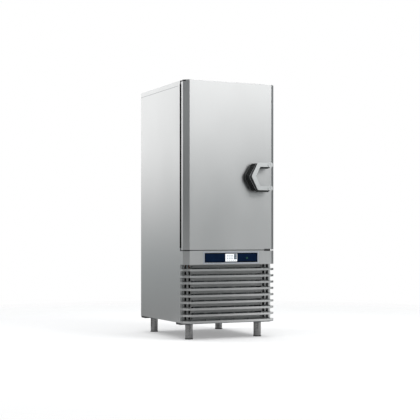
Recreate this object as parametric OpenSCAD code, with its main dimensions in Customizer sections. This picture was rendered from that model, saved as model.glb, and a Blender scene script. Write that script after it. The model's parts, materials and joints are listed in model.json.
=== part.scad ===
// Blast chiller: a tall insulated cabinet with one hinged door above a refrigeration compartment.
// The origin lies on the floor under the middle of the machine.
// X runs to the right, Y to the back and Z up. Sizes are in millimetres.

/* [Cabinet] */
// Width of the cabinet, door, control band and louvres
cabinet_w = 790; // [760:5:900]
// Depth of the cabinet without its door
cabinet_d = 825; // [800:5:950]
// Height from the floor to the roof
cabinet_h = 2005; // [1980:5:2200]
// Height of the cabinet's underside above the floor
floor_gap = 132; // [115:1:160]
// Thickness of the outer steel sheets
skin_t = 1.2; // [0.8:0.1:2]
// Thickness of the insulated side and rear walls
wall_t = 60; // [55:1:70]
// Thickness of the insulated roof
roof_t = 70; // [62:1:90]
// Depth of the front frame's strip along the side walls
frame_return = 40; // [25:1:60]
// Height of the roof cover's skirt
roof_skirt_h = 37; // [20:1:60]
// Width of the folded edges of the side panels
panel_return = 25; // [15:1:30]
// Thickness of the chamber's inner lining
liner_t = 1; // [0.8:0.1:2]
// Radius of the chamber's rear corners
liner_r = 25; // [8:1:40]

/* [Front outline] */
// Depth of the flat side of the door
front_flat = 34; // [25:1:45]
// Leg of the 45 degree bevel at both sides of the front
front_bevel = 40; // [25:1:50]
// Gap between the cabinet and the back of the door
door_gap = 20; // [16:1:26]
// Outer radius of the sheet bends
bend_r = 3; // [2:0.5:5]

/* [Door] */
// Gap between the control band and the door
door_slit = 8; // [7:0.5:12]
// Width of the folded edges at the back of the door skin
door_return = 16; // [10:1:18]
// Thickness of the door's inner pan
pan_t = 1; // [0.8:0.1:2]
// Height of the pressed field of the inner pan
pan_plug_h = 12; // [5:1:14]
// Thickness of the door's end caps
cap_t = 2; // [1:0.5:4]
// Depth of the notch over the upper hinge
notch_h = 12; // [11:0.5:20]
// Width of the door gasket
gasket_w = 28; // [20:1:30]
// Distance from the chamber opening to the gasket
gasket_inset = 12; // [6:1:14]

/* [Hinges] */
// Distance from the door's left side to the hinge axis
hinge_inset = 18; // [17:0.5:22]
// Distance from the door's back to the hinge axis
hinge_depth = 32; // [26:1:34]
// Radius of the hinge pins
pin_r = 6; // [4:0.5:6]
// Length of the hinge pins below or above their arms
pin_l = 16; // [12:1:24]
// Thickness of the lower hinge arm
arm_t = 5; // [3:0.5:5.5]

/* [Handle] */
// Height of the handle's middle above the floor
handle_z = 1271; // [1150:1:1400]
// Height of the handle over all
handle_h = 216; // [180:1:260]
// Distance from the door's right side to the handle's posts
handle_inset = 90; // [66:1:110]
// Distance from the posts to the corners of the half hexagon
handle_arm = 109; // [80:1:120]
// Distance from those corners to the point of the half hexagon
handle_point = 53; // [30:1:60]
// Width of the handle's steel plate
handle_band = 33; // [24:1:36]
// Distance from the door to the front of the steel plate
handle_reach = 75; // [65:1:90]
// Free space between the door and the grip
handle_clear = 24; // [20:1:30]
// Growth of the grip from the plate to its back
handle_taper = 35; // [0:1:40]
// Thickness of the steel plate
plate_t = 4; // [2:0.5:6]
// Diameter of the round caps over the posts
post_cap_d = 42; // [30:1:44]
// Height of the round caps
post_cap_h = 5; // [3:0.5:8]

/* [Control band] */
// Height of the control band's lower edge above the floor
band_z0 = 583; // [560:1:600]
// Height of the control band
band_h = 106; // [100:1:120]
// Width of the touch glass
glass_w = 459; // [380:1:500]
// Height of the touch glass
glass_h = 75; // [60:1:78]
// Width of the rim around the touch glass
bezel_rim = 11; // [6:1:12]
// Width of the display
display_w = 102; // [80:1:120]
// Height of the display
display_h = 60; // [40:1:60]
// Distance from the middle to the status light
status_x = 138; // [100:1:180]

/* [Grille] */
// Number of louvre slats
slat_count = 9; // [6:1:11]
// Height of one slat
slat_h = 16; // [10:1:20]
// Thickness of the slats and of the sheet behind them
slat_t = 1.5; // [1:0.1:2]
// Depth of the slats
core_inset = 22; // [15:1:23]
// Distance from the cabinet to the front of the sheet behind the slats
core_reach = 15; // [10:1:30]
// Width of the upright air slots in that sheet
corner_slot_w = 16; // [6:1:18]
// Width of the posts between those slots
core_post_w = 18; // [12:1:24]
// Height of the air slots above each slat
air_slot_h = 7; // [3:1:10]

/* [Trays and fans] */
// Distance from the trays to the chamber's side walls
tray_gap = 35; // [30:1:40]
// Distance from the racks to the chamber's rear wall, for the fans and the evaporator
fan_room = 315; // [290:5:400]
// Number of tray levels
tray_levels = 18; // [10:1:18]
// Distance from the chamber's floor to the lowest runners
rack_floor_gap = 45; // [30:1:60]
// Distance from the chamber's roof to where the next runners would be
rack_roof_gap = 17; // [10:1:40]
// Radius of the evaporator fans
fan_r = 150; // [120:1:160]
// Radius of the condenser fan
condenser_fan_r = 165; // [130:1:175]
// Radius of the fan shafts
shaft_r = 4; // [3:0.5:6]

/* [Feet] */
// Diameter of the legs
leg_d = 60; // [45:1:60]
// Width of the square plate on top of each leg
leg_plate_w = 84; // [80:1:100]
// Thickness of that plate
leg_plate_t = 8; // [5:1:12]
// Distance from the cabinet's sides to the legs' plates
leg_side_inset = 53; // [35:1:80]
// Distance from the cabinet's front to the front legs' plates
leg_front_inset = 2; // [2:1:40]
// Distance from the cabinet's back to the rear legs' plates
leg_rear_inset = 20; // [10:1:60]
// Height of the adjustable foot cup
foot_h = 18; // [12:1:30]
// Travel of the adjustable foot
foot_travel = 30; // [10:1:35]
// Radius of the foot's stem
stem_r = 8; // [6:1:12]

/* [Services] */
// Radius of the drain pipe
drain_r = 16; // [12:1:20]
// How far the drain pipe reaches below the cabinet
drain_drop = 30; // [20:1:50]
// Radius of the mains cable's passage
gland_bore_r = 8; // [5:0.5:9]
// How far the cable gland stands out of the back
gland_reach = 20; // [14:1:30]

/* [Hidden] */
$fn = 48;

// Clearances
fit = 0.2;          // between two pieces that are seated on each other
running_fit = 0.05; // radial, between a pin or shaft and its bore
seam = 0.4;         // between two visible sheets
roof_seam = 1;      // under the roof cover
cut = 1;            // how far a cutting shape reaches past what it cuts

// Colours
steel = [0.74, 0.75, 0.75];
dark_steel = [0.42, 0.43, 0.44];
black = [0.05, 0.05, 0.06];
foam = [0.93, 0.87, 0.66];
copper = [0.72, 0.43, 0.28];
navy = [0.02, 0.03, 0.12];

// Main places. y = 0 is the cabinet's front plane, behind the door gasket.
half_w = cabinet_w / 2;
front_reach = door_gap + front_flat + front_bevel;
handle_front = front_reach + handle_reach + post_cap_h;
cabinet_y = (handle_front - cabinet_d - gland_reach) / 2;
band_z1 = band_z0 + band_h;
door_z0 = band_z1 + door_slit;
door_z1 = cabinet_h;
chamber_w = cabinet_w - 2 * wall_t;
chamber_d = cabinet_d - wall_t;
chamber_z0 = door_z0 + wall_t;
chamber_z1 = cabinet_h - roof_t;
chamber_h = chamber_z1 - chamber_z0;
throat_d = 20;
panel_y0 = frame_return + seam;
roof_z0 = cabinet_h - roof_skirt_h;
inner_x = half_w - skin_t - fit;
inner_y1 = cabinet_d - 2 * skin_t - 2 * fit;
nose_x = half_w - front_bevel;
handle_post_x = half_w - handle_inset;
grille_z0 = floor_gap + 1;
slat_pitch = (band_z0 - grille_z0) / slat_count;

// Base and legs
base_t = 2;
base_z0 = floor_gap + skin_t + fit;
base_z1 = base_z0 + base_t;
rail_h = 24;
leg_z1 = base_z0 - fit;
leg_x = half_w - leg_side_inset - leg_plate_w / 2;
leg_front = leg_front_inset + leg_plate_w / 2;
leg_rear = cabinet_d - leg_rear_inset - leg_plate_w / 2;

// Chamber fittings
panel_t = 1.5;
tray_w = chamber_w - 2 * tray_gap;
tray_pitch = (chamber_h - rack_floor_gap - rack_roof_gap) / tray_levels;
rack_play = 20;
rack_y0 = throat_d + rack_play / 2;
rack_y1 = chamber_d - fan_room;
rack_z0 = chamber_z0 + rack_floor_gap;
fan_panel_y = rack_y1 + rack_play;
fan_step = chamber_h / 3.2;
fan_mid_z = chamber_z0 + chamber_h / 2;
fan_y = fan_panel_y + 8;
fan_depth = 28;
collar_gap = 8;
motor_l = 58;
motor_r = 42;
coil_y0 = fan_y + fan_depth + motor_l + 34;
coil_y1 = chamber_d - liner_t - 45;

// Machine compartment
condenser_y0 = 30;
condenser_d = 100;
condenser_side_room = 125;
condenser_hw = half_w - condenser_side_room;
condenser_z0 = base_z1 + 30;
condenser_z1 = band_z0 - 25;
shroud_d = 70;
shroud_y1 = condenser_y0 + condenser_d + fit + shroud_d;
condenser_z = (condenser_z0 + condenser_z1) / 2;
condenser_fan_y = shroud_y1 - 16;
condenser_motor_end = condenser_fan_y + fan_depth + motor_l + 12;
drain_gap = 85;
drain_y = condenser_motor_end + drain_gap;
compressor_r = 100;
compressor_x = -110;
compressor_gap = 75;
compressor_y = drain_y + compressor_gap + compressor_r;
mount_h = 20;
compressor_z0 = base_z1 + mount_h + 2 * fit;
compressor_h = 300;
receiver_r = 55;
receiver_x = 150;
receiver_h = 290;
receiver_dome = 25;

// Moves what is drawn from the cabinet's front plane to the machine's own origin.
module cab() translate([0, cabinet_y, 0]) children();

// Draws its children once for the right side, or mirrored for the left side.
module on_side(side) mirror([side < 0 ? 1 : 0, 0, 0]) children();

// Draws its children on both sides.
module on_both_sides() {
    on_side(-1) children();
    on_side(1) children();
}

// Points of the arc that rounds the corner b between its neighbours a and c.
function arc_points(a, b, c, r, steps = 4) = let(
    u = (a - b) / norm(a - b),
    v = (c - b) / norm(c - b),
    half = acos(u * v) / 2,
    centre = b + (u + v) / norm(u + v) * r / sin(half),
    from = b + u * r / tan(half) - centre,
    to = b + v * r / tan(half) - centre,
    turn = 180 - 2 * half
) [for (i = [0:steps]) centre
    + (sin((1 - i / steps) * turn) * from + sin(i / steps * turn) * to) / sin(turn)];

// An open outline with its inner corners rounded, and its two ends kept.
function rounded(points, r) = let(last = len(points) - 1) concat(
    [points[0]],
    [for (i = [1:last - 1]) each arc_points(points[i - 1], points[i], points[i + 1], r)],
    [points[last]]);

// The machine's front seen from above: flat sides, 45 degree bevels and a flat front.
// inset moves every face inward by the same amount, and back_y is where the sides end.
function front_outline(inset, back_y) = let(
    k = inset * tan(22.5),
    side_x = half_w - inset,
    side_y = -(door_gap + front_flat) + k,
    corner_x = nose_x - k,
    front_y = inset - front_reach
) rounded([
    [-side_x, back_y], [-side_x, side_y], [-corner_x, front_y],
    [corner_x, front_y], [side_x, side_y], [side_x, back_y]
], max(bend_r - inset, 0.8));

module front_prism(inset, back_y, z0, z1)
    translate([0, 0, z0]) linear_extrude(z1 - z0) polygon(front_outline(inset, back_y));

// A box given by its lowest and highest corners.
module box(low, high) translate(low) cube(high - low);

// A box around the chamber's middle, grown by a margin on its four sides, from y0 to y1.
module chamber_box(margin, y0, y1)
    box([-chamber_w / 2 - margin, y0, chamber_z0 - margin],
        [chamber_w / 2 + margin, y1, chamber_z1 + margin]);

// A cylinder along Y whose front face is at y.
module y_cylinder(x, y, z, r, l) translate([x, y, z]) rotate([-90, 0, 0]) cylinder(r = r, h = l);

// A straight round rod between two points.
module rod(from, to, r) {
    run = to - from;
    length = norm(run);
    translate(from)
        rotate([0, acos(run.z / length), atan2(run.y, run.x)])
            cylinder(r = r, h = length);
}

// A pipe through a list of points, with ball corners.
module pipe(points, r) {
    for (i = [0:len(points) - 2]) rod(points[i], points[i + 1], r);
    for (i = [1:len(points) - 2]) translate(points[i]) sphere(r = r, $fn = 24);
}

// ---- Cabinet ----

module side_panel(side) color(steel) cab() on_side(side) {
    box([half_w - skin_t, panel_y0, floor_gap], [half_w, cabinet_d, roof_z0 - roof_seam]);
    box([half_w - panel_return, cabinet_d - skin_t, floor_gap], [half_w, cabinet_d, roof_z0 - roof_seam]);
    box([half_w - panel_return, panel_y0, floor_gap], [half_w, cabinet_d, floor_gap + skin_t]);
}

module side_panel_left() side_panel(-1);
module side_panel_right() side_panel(1);

louvre_w = 150;
louvre_h = 14;
louvre_out = 7;
louvre_rows = 8;
louvre_pitch = 46;
louvre_columns = [-1, 0, 1];
louvre_z0 = floor_gap + 90;
louvre_column_x = chamber_w / 3.1;
gland_x = half_w - 110;
gland_z = floor_gap + 55;
gland_r = 16;
gland_z1 = cabinet_d + gland_reach - inner_y1 - fit;

// A wedge for a pressed hood that opens downward, standing out of a sheet whose outer face is at y = 0.
module louvre_wedge(w, out) translate([-w / 2, 0, 0]) rotate([90, 0, 90]) linear_extrude(w)
    polygon([[0, 0], [out, 0], [out, louvre_h / 3], [0, louvre_h]]);

module louvre() louvre_wedge(louvre_w, louvre_out);

module louvre_bore() translate([0, -skin_t - cut, -skin_t])
    louvre_wedge(louvre_w - 2 * skin_t, louvre_out + cut);

module each_louvre() for (column = louvre_columns, row = [0:louvre_rows - 1])
    translate([column * louvre_column_x, inner_y1 + skin_t + fit, louvre_z0 + row * louvre_pitch])
        children();

module back_panel() color(steel) cab() difference() {
    union() {
        box([-inner_x, inner_y1 + fit, base_z0],
            [inner_x, inner_y1 + skin_t + fit, cabinet_h - skin_t - fit]);
        each_louvre() louvre();
    }
    each_louvre() louvre_bore();
    y_cylinder(gland_x, inner_y1 - cut, gland_z, gland_r + fit, skin_t + 3 * cut);
}

module top_cover() color(steel) cab() difference() {
    box([-half_w, panel_y0, roof_z0], [half_w, cabinet_d, cabinet_h]);
    box([-half_w + skin_t, panel_y0 - cut, roof_z0 - cut],
        [half_w - skin_t, cabinet_d - skin_t, cabinet_h - skin_t]);
}

// Plan of the lining: straight sides and rounded rear corners.
function liner_outline(inset, y0) = let(
    x = chamber_w / 2 + liner_t - inset,
    y1 = chamber_d + liner_t - inset
) rounded([[-x, y0], [-x, y1], [x, y1], [x, y0]], liner_r - inset);

pipe_pass_r = 14;
liquid_x = 90;
suction_x = -90;
pipe_pass_y = chamber_d - liner_t - 24;

module floor_passages(extra) {
    translate([0, drain_y, chamber_z0 - 2 * wall_t])
        cylinder(r = drain_r + extra, h = 4 * wall_t);
    for (x = [liquid_x, suction_x])
        translate([x, pipe_pass_y, chamber_z0 - 2 * wall_t])
            cylinder(r = pipe_pass_r + extra, h = 4 * wall_t);
}

module insulation() color(foam) cab() difference() {
    box([-inner_x, skin_t + fit, door_z0], [inner_x, inner_y1, cabinet_h - skin_t - fit]);
    translate([0, 0, chamber_z0 - liner_t - fit])
        linear_extrude(chamber_h + 2 * liner_t + 2 * fit)
            polygon(liner_outline(-fit, 0));
    floor_passages(fit);
}

module chamber_liner() color(steel) cab() difference() {
    translate([0, 0, chamber_z0 - liner_t])
        linear_extrude(chamber_h + 2 * liner_t)
            polygon(liner_outline(0, throat_d));
    translate([0, 0, chamber_z0])
        linear_extrude(chamber_h)
            polygon(liner_outline(liner_t, throat_d - cut));
    floor_passages(fit);
}

frame_land = 25;
mouth_z1 = band_z1 - 20;

module front_frame() color(steel) cab() difference() {
    union() {
        box([-half_w, 0, floor_gap], [half_w, skin_t, cabinet_h]);
        on_both_sides() box([half_w - skin_t, 0, floor_gap], [half_w, frame_return, cabinet_h]);
        box([-half_w, 0, cabinet_h - skin_t], [half_w, frame_return, cabinet_h]);
        chamber_box(liner_t, 0, throat_d - fit);
    }
    chamber_box(0, -cut, throat_d + cut);
    box([-half_w + frame_land, -cut, floor_gap + frame_land],
        [half_w - frame_land, skin_t + cut, mouth_z1]);
}

// Sheet tray with turned-up edges, two side channels and two channels under the compressor.
module base_frame() color(dark_steel) cab() difference() {
    union() {
        box([-inner_x, skin_t + fit, base_z0], [inner_x, inner_y1, base_z1]);
        on_both_sides() difference() {
            box([inner_x - 45, skin_t + fit, base_z1], [inner_x, inner_y1, base_z1 + rail_h]);
            box([inner_x - 45 + base_t, -cut, base_z1 - cut],
                [inner_x - base_t, cabinet_d, base_z1 + rail_h - base_t]);
        }
        box([-inner_x, skin_t + fit, base_z1], [inner_x, skin_t + fit + base_t, base_z1 + 10]);
        box([-inner_x, inner_y1 - base_t, base_z1], [inner_x, inner_y1, base_z1 + rail_h]);
    }
    translate([0, drain_y, base_z0 - cut]) cylinder(r = drain_r + fit, h = base_t + 2 * cut);
}

// ---- Legs and feet ----

module each_leg() for (x = [-leg_x, leg_x], y = [leg_front, leg_rear]) translate([x, y, 0]) children();

leg_z0 = foot_h + 0.5;
leg_wall = 2.5;
nut_t = 12;
plate_z0 = leg_z1 - leg_plate_t;

// Square plate, round tube and the nut disc that closes the tube's lower end.
module leg() difference() {
    union() {
        translate([-leg_plate_w / 2, -leg_plate_w / 2, plate_z0])
            cube([leg_plate_w, leg_plate_w, leg_plate_t]);
        translate([0, 0, leg_z0]) cylinder(r = leg_d / 2, h = plate_z0 - leg_z0);
    }
    translate([0, 0, leg_z0 + nut_t])
        cylinder(r = leg_d / 2 - leg_wall, h = plate_z0 - leg_z0 - nut_t);
    translate([0, 0, leg_z0 - cut]) cylinder(r = stem_r + running_fit, h = nut_t + 2 * cut);
}

module legs() color(dark_steel) cab() each_leg() leg();

// Foot cup with a chamfered sole and the threaded stem, drawn as a plain rod.
module foot(x, y) color(dark_steel) cab() translate([x, y, 0]) rotate_extrude() polygon([
    [0, 0], [leg_d / 2 - 4, 0], [leg_d / 2, 4], [leg_d / 2, foot_h - 1], [leg_d / 2 - 1, foot_h],
    [stem_r, foot_h], [stem_r, leg_z0 + nut_t + foot_travel], [0, leg_z0 + nut_t + foot_travel]
]);

module foot_front_left() foot(-leg_x, leg_front);
module foot_front_right() foot(leg_x, leg_front);
module foot_rear_left() foot(-leg_x, leg_rear);
module foot_rear_right() foot(leg_x, leg_rear);

// ---- Hinges ----

hinge_x = -half_w + hinge_inset;
hinge_y = -door_gap - hinge_depth;
arm_r = 11;
head_r = 19;        // round head of the upper arm, which fills the door's corner
head_play = 1;
bush_flange_t = 1.5;
bush_flange_r = 11.5;
bush_r = 9;
bush_l = 17;
hinge_play = 0.3;
bracket_t = 4;
bracket_w = 48;
bracket_x0 = -half_w + 2 * skin_t;
notch_z = door_z1 - notch_h;
arm_top_z0 = notch_z + bush_flange_t + hinge_play;
arm_low_z1 = door_z0 - bush_flange_t - hinge_play;
screw_head_r = 5;
screw_head_h = 2.5;

// Arm from the cabinet's face to the hinge axis, with a round end.
module hinge_arm(r, z0, z1) {
    translate([hinge_x, hinge_y, z0]) cylinder(r = r, h = z1 - z0);
    box([hinge_x - arm_r, hinge_y, z0], [hinge_x + arm_r, -fit, z1]);
}

// Plate on the cabinet's face with two countersunk screws seen from the front.
module hinge_plate(z0, z1) {
    box([bracket_x0, -bracket_t - fit, z0], [bracket_x0 + bracket_w, -fit, z1]);
    for (x = [10, bracket_w - 10])
        y_cylinder(bracket_x0 + x, -bracket_t - screw_head_h - fit, (z0 + z1) / 2 - 4,
            screw_head_r, screw_head_h + 1);
}

module hinge_bracket_top() color(dark_steel) cab() {
    intersection() {
        hinge_arm(head_r, arm_top_z0, door_z1);
        front_prism(0, 0, arm_top_z0, door_z1);
    }
    hinge_plate(arm_top_z0 - 16, door_z1);
    translate([hinge_x, hinge_y, arm_top_z0 - pin_l]) cylinder(r = pin_r, h = pin_l + 1);
}

module hinge_bracket_bottom() color(dark_steel) cab() {
    hinge_arm(arm_r, arm_low_z1 - arm_t, arm_low_z1);
    hinge_plate(arm_low_z1 - arm_t - 44, arm_low_z1);
    translate([hinge_x, hinge_y, arm_low_z1 - 1]) cylinder(r = pin_r, h = pin_l + 1);
}

// One flanged bush whose flange lies below z = 0 and whose body points up.
module bush() difference() {
    union() {
        translate([0, 0, -bush_flange_t]) cylinder(r = bush_flange_r, h = bush_flange_t);
        cylinder(r = bush_r, h = bush_l);
    }
    translate([0, 0, -bush_flange_t - cut]) cylinder(r = pin_r + running_fit, h = bush_l + 2 * cut);
}

module hinge_bushes() color(black) cab() {
    translate([hinge_x, hinge_y, door_z0]) bush();
    translate([hinge_x, hinge_y, notch_z]) mirror([0, 0, 1]) bush();
}

switch_x = half_w - 55;
switch_z = cabinet_h - 24;
switch_w = 36;
switch_h = 12;

module door_switch() color(black) cab()
    box([switch_x, -10, switch_z], [switch_x + switch_w, -fit, switch_z + switch_h]);

module door_magnet() color(black) cab()
    box([switch_x, -door_gap - skin_t, switch_z], [switch_x + switch_w, -door_gap + 6, switch_z + switch_h]);

ramp_l = 52;
ramp_d = 30;
ramp_x0 = nose_x - 12 - ramp_l;

// Low pad under the free corner of the door, with a sloping front edge.
module closing_ramp() color(black) cab()
    translate([ramp_x0, 0, band_z1 + fit]) rotate([90, 0, 90]) linear_extrude(ramp_l)
        polygon([[-front_reach, 0], [-front_reach + ramp_d, 0],
            [-front_reach + ramp_d, door_slit - 2 * fit], [-front_reach + 2, door_slit - 2 * fit],
            [-front_reach, door_slit - 2]]);

// ---- Control band ----

band_mid = (band_z0 + band_z1) / 2;
bezel_sleeve = 4;
bezel_flange_t = 1.5;
bezel_depth = 9;
glass_t = 4;
glass_front = -front_reach - 0.5;
housing_y1 = -front_reach + 40;
plug_w = 40;
plug_h = 24;
plug_d = 10;
status_z = band_mid - 3;
status_r = 4.5;

// A plate in the XZ plane around the control band's middle.
module band_plate(w, h, y0, y1) box([-w / 2, y0, band_mid - h / 2], [w / 2, y1, band_mid + h / 2]);

// The same with round corners.
module band_tile(w, h, r, y0, y1) translate([0, y1, band_mid]) rotate([90, 0, 0])
    linear_extrude(y1 - y0) {
        square([w - 2 * r, h], center = true);
        square([w, h - 2 * r], center = true);
        for (x = [-1, 1], z = [-1, 1]) translate([x * (w / 2 - r), z * (h / 2 - r)]) circle(r = r);
    }

sill_y = 5;         // from the front to the upstand that closes the slit under the door
sill_gap = 2.5;

module control_fascia() color(steel) cab() difference() {
    union() {
        front_prism(0, -fit, band_z0, band_z1);
        box([-nose_x + sill_y, -front_reach + sill_y, band_z1 - skin_t],
            [ramp_x0 - 2, -front_reach + sill_y + skin_t, door_z0 - sill_gap]);
    }
    front_prism(skin_t, cut, band_z0 + skin_t, band_z1 - skin_t);
    box([-half_w + skin_t, -6, band_z0 - cut], [half_w - skin_t, cut, band_z1 + cut]);
    band_plate(glass_w + 2 * bezel_sleeve + 2 * fit, glass_h + 2 * bezel_sleeve + 2 * fit,
        -front_reach - cut, -front_reach + skin_t + cut);
}

module control_bezel() color([0.85, 0.86, 0.88]) cab() difference() {
    union() {
        band_tile(glass_w + 2 * bezel_rim, glass_h + 2 * bezel_rim - 2, 4,
            -front_reach - bezel_flange_t - fit, -front_reach - fit);
        band_plate(glass_w + 2 * bezel_sleeve, glass_h + 2 * bezel_sleeve,
            -front_reach - bezel_flange_t, -front_reach + bezel_depth);
    }
    band_tile(glass_w, glass_h, 2, -front_reach - 10, -front_reach + 20);
}

module touch_glass() color(navy) cab() difference() {
    band_tile(glass_w - 2 * fit, glass_h - 2 * fit, 2, glass_front, glass_front + glass_t);
    band_plate(display_w, display_h, glass_front - cut, glass_front + glass_t + cut);
    y_cylinder(status_x, glass_front - cut, status_z, status_r, glass_t + 2 * cut);
}

module display_screen() color("white") cab()
    band_plate(display_w - 2 * fit, display_h - 2 * fit, glass_front + fit, glass_front + glass_t);

module status_light() color([0.1, 0.75, 0.35]) cab()
    y_cylinder(status_x, glass_front + fit, status_z, status_r - fit, glass_t - fit);

// Housing of the electronics, seated behind the touch glass inside the sleeve of its rim.
module control_housing() color([0.2, 0.2, 0.22]) cab() {
    band_plate(glass_w - 2 * fit - 1, glass_h - 2 * fit - 1, glass_front + glass_t + fit, housing_y1);
    for (x = [-glass_w / 3, -glass_w / 5, glass_w / 4])
        box([x, housing_y1, band_mid - plug_h / 2], [x + plug_w, housing_y1 + plug_d, band_mid + plug_h / 2]);
}

// ---- Grille ----

core_z0 = grille_z0 - 5;
core_x = half_w - core_inset;
core_post_x = half_w - 55;
core_slot_x0 = core_post_x - core_post_w / 2 - corner_slot_w;
air_slot_drop = 5;   // how far the long air slots reach down behind the slats
air_slot_web = 8;
slot_edge = 3;
bracket_edge = 3;

// Upright air slots on both sides of each post, and long ones in the middle above the slat.
module core_slots(z0) {
    slot_z0 = z0 + slat_h;
    on_both_sides() for (x = [core_slot_x0, core_post_x + core_post_w / 2])
        box([x, -core_reach - cut, slot_z0 + slot_edge],
            [x + corner_slot_w, -core_reach + slat_t + cut, z0 + slat_pitch - slot_edge]);
    slot_l = (core_slot_x0 - air_slot_web / 2) * 2 / 5;
    for (i = [-2:2]) translate([i * slot_l, 0, 0])
        box([(air_slot_web - slot_l) / 2, -core_reach - cut, slot_z0 - air_slot_drop],
            [(slot_l - air_slot_web) / 2, -core_reach + slat_t + cut, slot_z0 + air_slot_h]);
}

// Slotted sheet behind the slats, with side walls, a floor and a bracket to each slat on both posts.
module grille_core() color(dark_steel) cab() {
    difference() {
        box([-core_x, -core_reach, core_z0], [core_x, -fit, band_z0 - fit]);
        box([-core_x + slat_t, -core_reach + slat_t, core_z0 + slat_t],
            [core_x - slat_t, cut, band_z0 + cut]);
        for (i = [0:slat_count - 1]) core_slots(grille_z0 + i * slat_pitch);
    }
    front_prism(core_inset, -core_reach + cut, core_z0, core_z0 + slat_t);
    on_both_sides() for (i = [0:slat_count - 1]) translate([core_post_x, 0, grille_z0 + i * slat_pitch])
        box([-core_post_w / 2 + bracket_edge, core_inset + 0.5 - front_reach, bracket_edge],
            [core_post_w / 2 - bracket_edge, -core_reach + slat_t, slat_h - bracket_edge]);
}

// One folded slat: front lip, top and bottom flange, wrapped round the bevelled front.
module slat(z0) difference() {
    front_prism(0, -fit, z0, z0 + slat_h);
    front_prism(core_inset - fit, cut, z0 - cut, z0 + slat_h + cut);
    front_prism(slat_t, cut, z0 + slat_t, z0 + slat_h - slat_t);
}

module grille_slats() color(steel) cab()
    for (i = [0:slat_count - 1]) slat(grille_z0 + i * slat_pitch);

grille_screw_x = core_slot_x0 - 12;

module grille_screws() color(black) cab()
    for (x = [-1, 1], i = [0, slat_count - 1])
        y_cylinder(x * grille_screw_x, -core_reach - screw_head_h,
            grille_z0 + (i + 0.5) * slat_pitch + slat_h / 2, screw_head_r, screw_head_h - fit);

// ---- Condensing unit ----

// A finned block: a core with grooves across its front and its back.
module fin_block(low, high, pitch, groove, depth) {
    count = floor((high.x - low.x) / pitch) - 1;
    start = ((high.x - low.x) - (count - 1) * pitch) / 2 - groove / 2;
    difference() {
        box(low, high);
        for (i = [0:count - 1]) translate([low.x + start + i * pitch, 0, low.z - cut]) {
            translate([0, low.y - cut, 0]) cube([groove, depth + cut, high.z - low.z + 2 * cut]);
            translate([0, high.y - depth, 0]) cube([groove, depth + cut, high.z - low.z + 2 * cut]);
        }
    }
}

// Half-round tube ends that join the front and back rows at one end of a coil.
module return_bends(x, y0, y1, z0, z1, rows, r) {
    step = (z1 - z0) / rows;
    for (i = [0:rows - 1])
        translate([x - 1, (y0 + y1) / 2, z0 + (i + 0.5) * step]) rotate([0, 0, -90])
            rotate_extrude(angle = 180) translate([(y1 - y0) / 2, 0]) circle(r = r, $fn = 24);
}

coil_rows = 8;
coil_row_share = 0.3;
coil_leg_w = 3;

module condenser_coil() color([0.62, 0.64, 0.66]) cab() {
    row_inset = condenser_d * coil_row_share;
    leg_inset = condenser_d / 20;
    fin_block([-condenser_hw, condenser_y0, condenser_z0],
        [condenser_hw, condenser_y0 + condenser_d, condenser_z1], 14, 8, condenser_d / 10);
    on_side(1) return_bends(condenser_hw, condenser_y0 + row_inset,
        condenser_y0 + condenser_d - row_inset, condenser_z0, condenser_z1, coil_rows, 5);
    on_both_sides() translate([condenser_hw - 2 * coil_leg_w, condenser_y0 + leg_inset, base_z1 + fit])
        cube([coil_leg_w, condenser_d - 2 * leg_inset, condenser_z0 - base_z1]);
}

module condenser_shroud() color(dark_steel) cab() difference() {
    y0 = condenser_y0 + condenser_d + fit;
    box([-condenser_hw, y0, condenser_z0], [condenser_hw, shroud_y1, condenser_z1]);
    box([-condenser_hw + skin_t, y0 - cut, condenser_z0 + skin_t],
        [condenser_hw - skin_t, shroud_y1 - skin_t, condenser_z1 - skin_t]);
    y_cylinder(0, y0, condenser_z, condenser_fan_r + collar_gap, shroud_d + cut);
}

hub_r = 32;
blade_t = 2.5;
blade_angle = 28;

// Axial fan along Y: hub with a blind bore from behind, and five pitched blades with round roots.
module fan(r, y, z, blades = 5) cab() translate([0, y, z]) rotate([-90, 0, 0]) difference() {
    union() {
        cylinder(r = hub_r, h = fan_depth);
        for (i = [0:blades - 1]) rotate([0, 0, i * 360 / blades]) intersection() {
            translate([0, 0, fan_depth / 2]) rotate([blade_angle, 0, 0])
                translate([hub_r * 0.9, 0, -blade_t / 2]) linear_extrude(blade_t) difference() {
                    translate([0, -fan_depth]) square([r, fan_depth * 2]);
                    translate([r * 0.3, fan_depth * 2.1]) circle(r = fan_depth * 1.35);
                }
            cylinder(r = r, h = fan_depth);
        }
    }
    translate([0, 0, 8]) cylinder(r = shaft_r + running_fit, h = fan_depth);
}

// Fan motor behind a fan at y: shaft, can, and a bar with legs that stand on the plate at plate_y.
module fan_motor(r, y, z, plate_y) translate([0, y + fan_depth + 6, z]) {
    leg_at = r + collar_gap + 10;
    plate = plate_y + fit - (y + fan_depth + 6);
    y_cylinder(0, -fan_depth + 4, 0, shaft_r, fan_depth);
    difference() {
        y_cylinder(0, 0, 0, motor_r, motor_l);
        for (a = [0:30:330]) rotate([0, a, 0])
            translate([motor_r - 2, 14, -3]) cube([4, motor_l - 28, 6]);
    }
    on_both_sides() {
        box([0, 4, -12], [leg_at + 12, 7, 12]);
        box([leg_at, plate, -12], [leg_at + 3, 7, 12]);
        box([leg_at, plate, -12], [leg_at + 12, plate + 2, 12]);
    }
}

module condenser_fan() color(black) fan(condenser_fan_r, condenser_fan_y, condenser_z, 6);

module condenser_fan_motor() color(dark_steel) cab()
    fan_motor(condenser_fan_r, condenser_fan_y, condenser_z, shroud_y1);

foot_span_x = 170;
foot_span_y = 150;
foot_plate_edge = 18;
terminal_w = 70;
terminal_d = 40;
terminal_h = 80;
terminal_z = compressor_z0 + compressor_h / 3;

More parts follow.
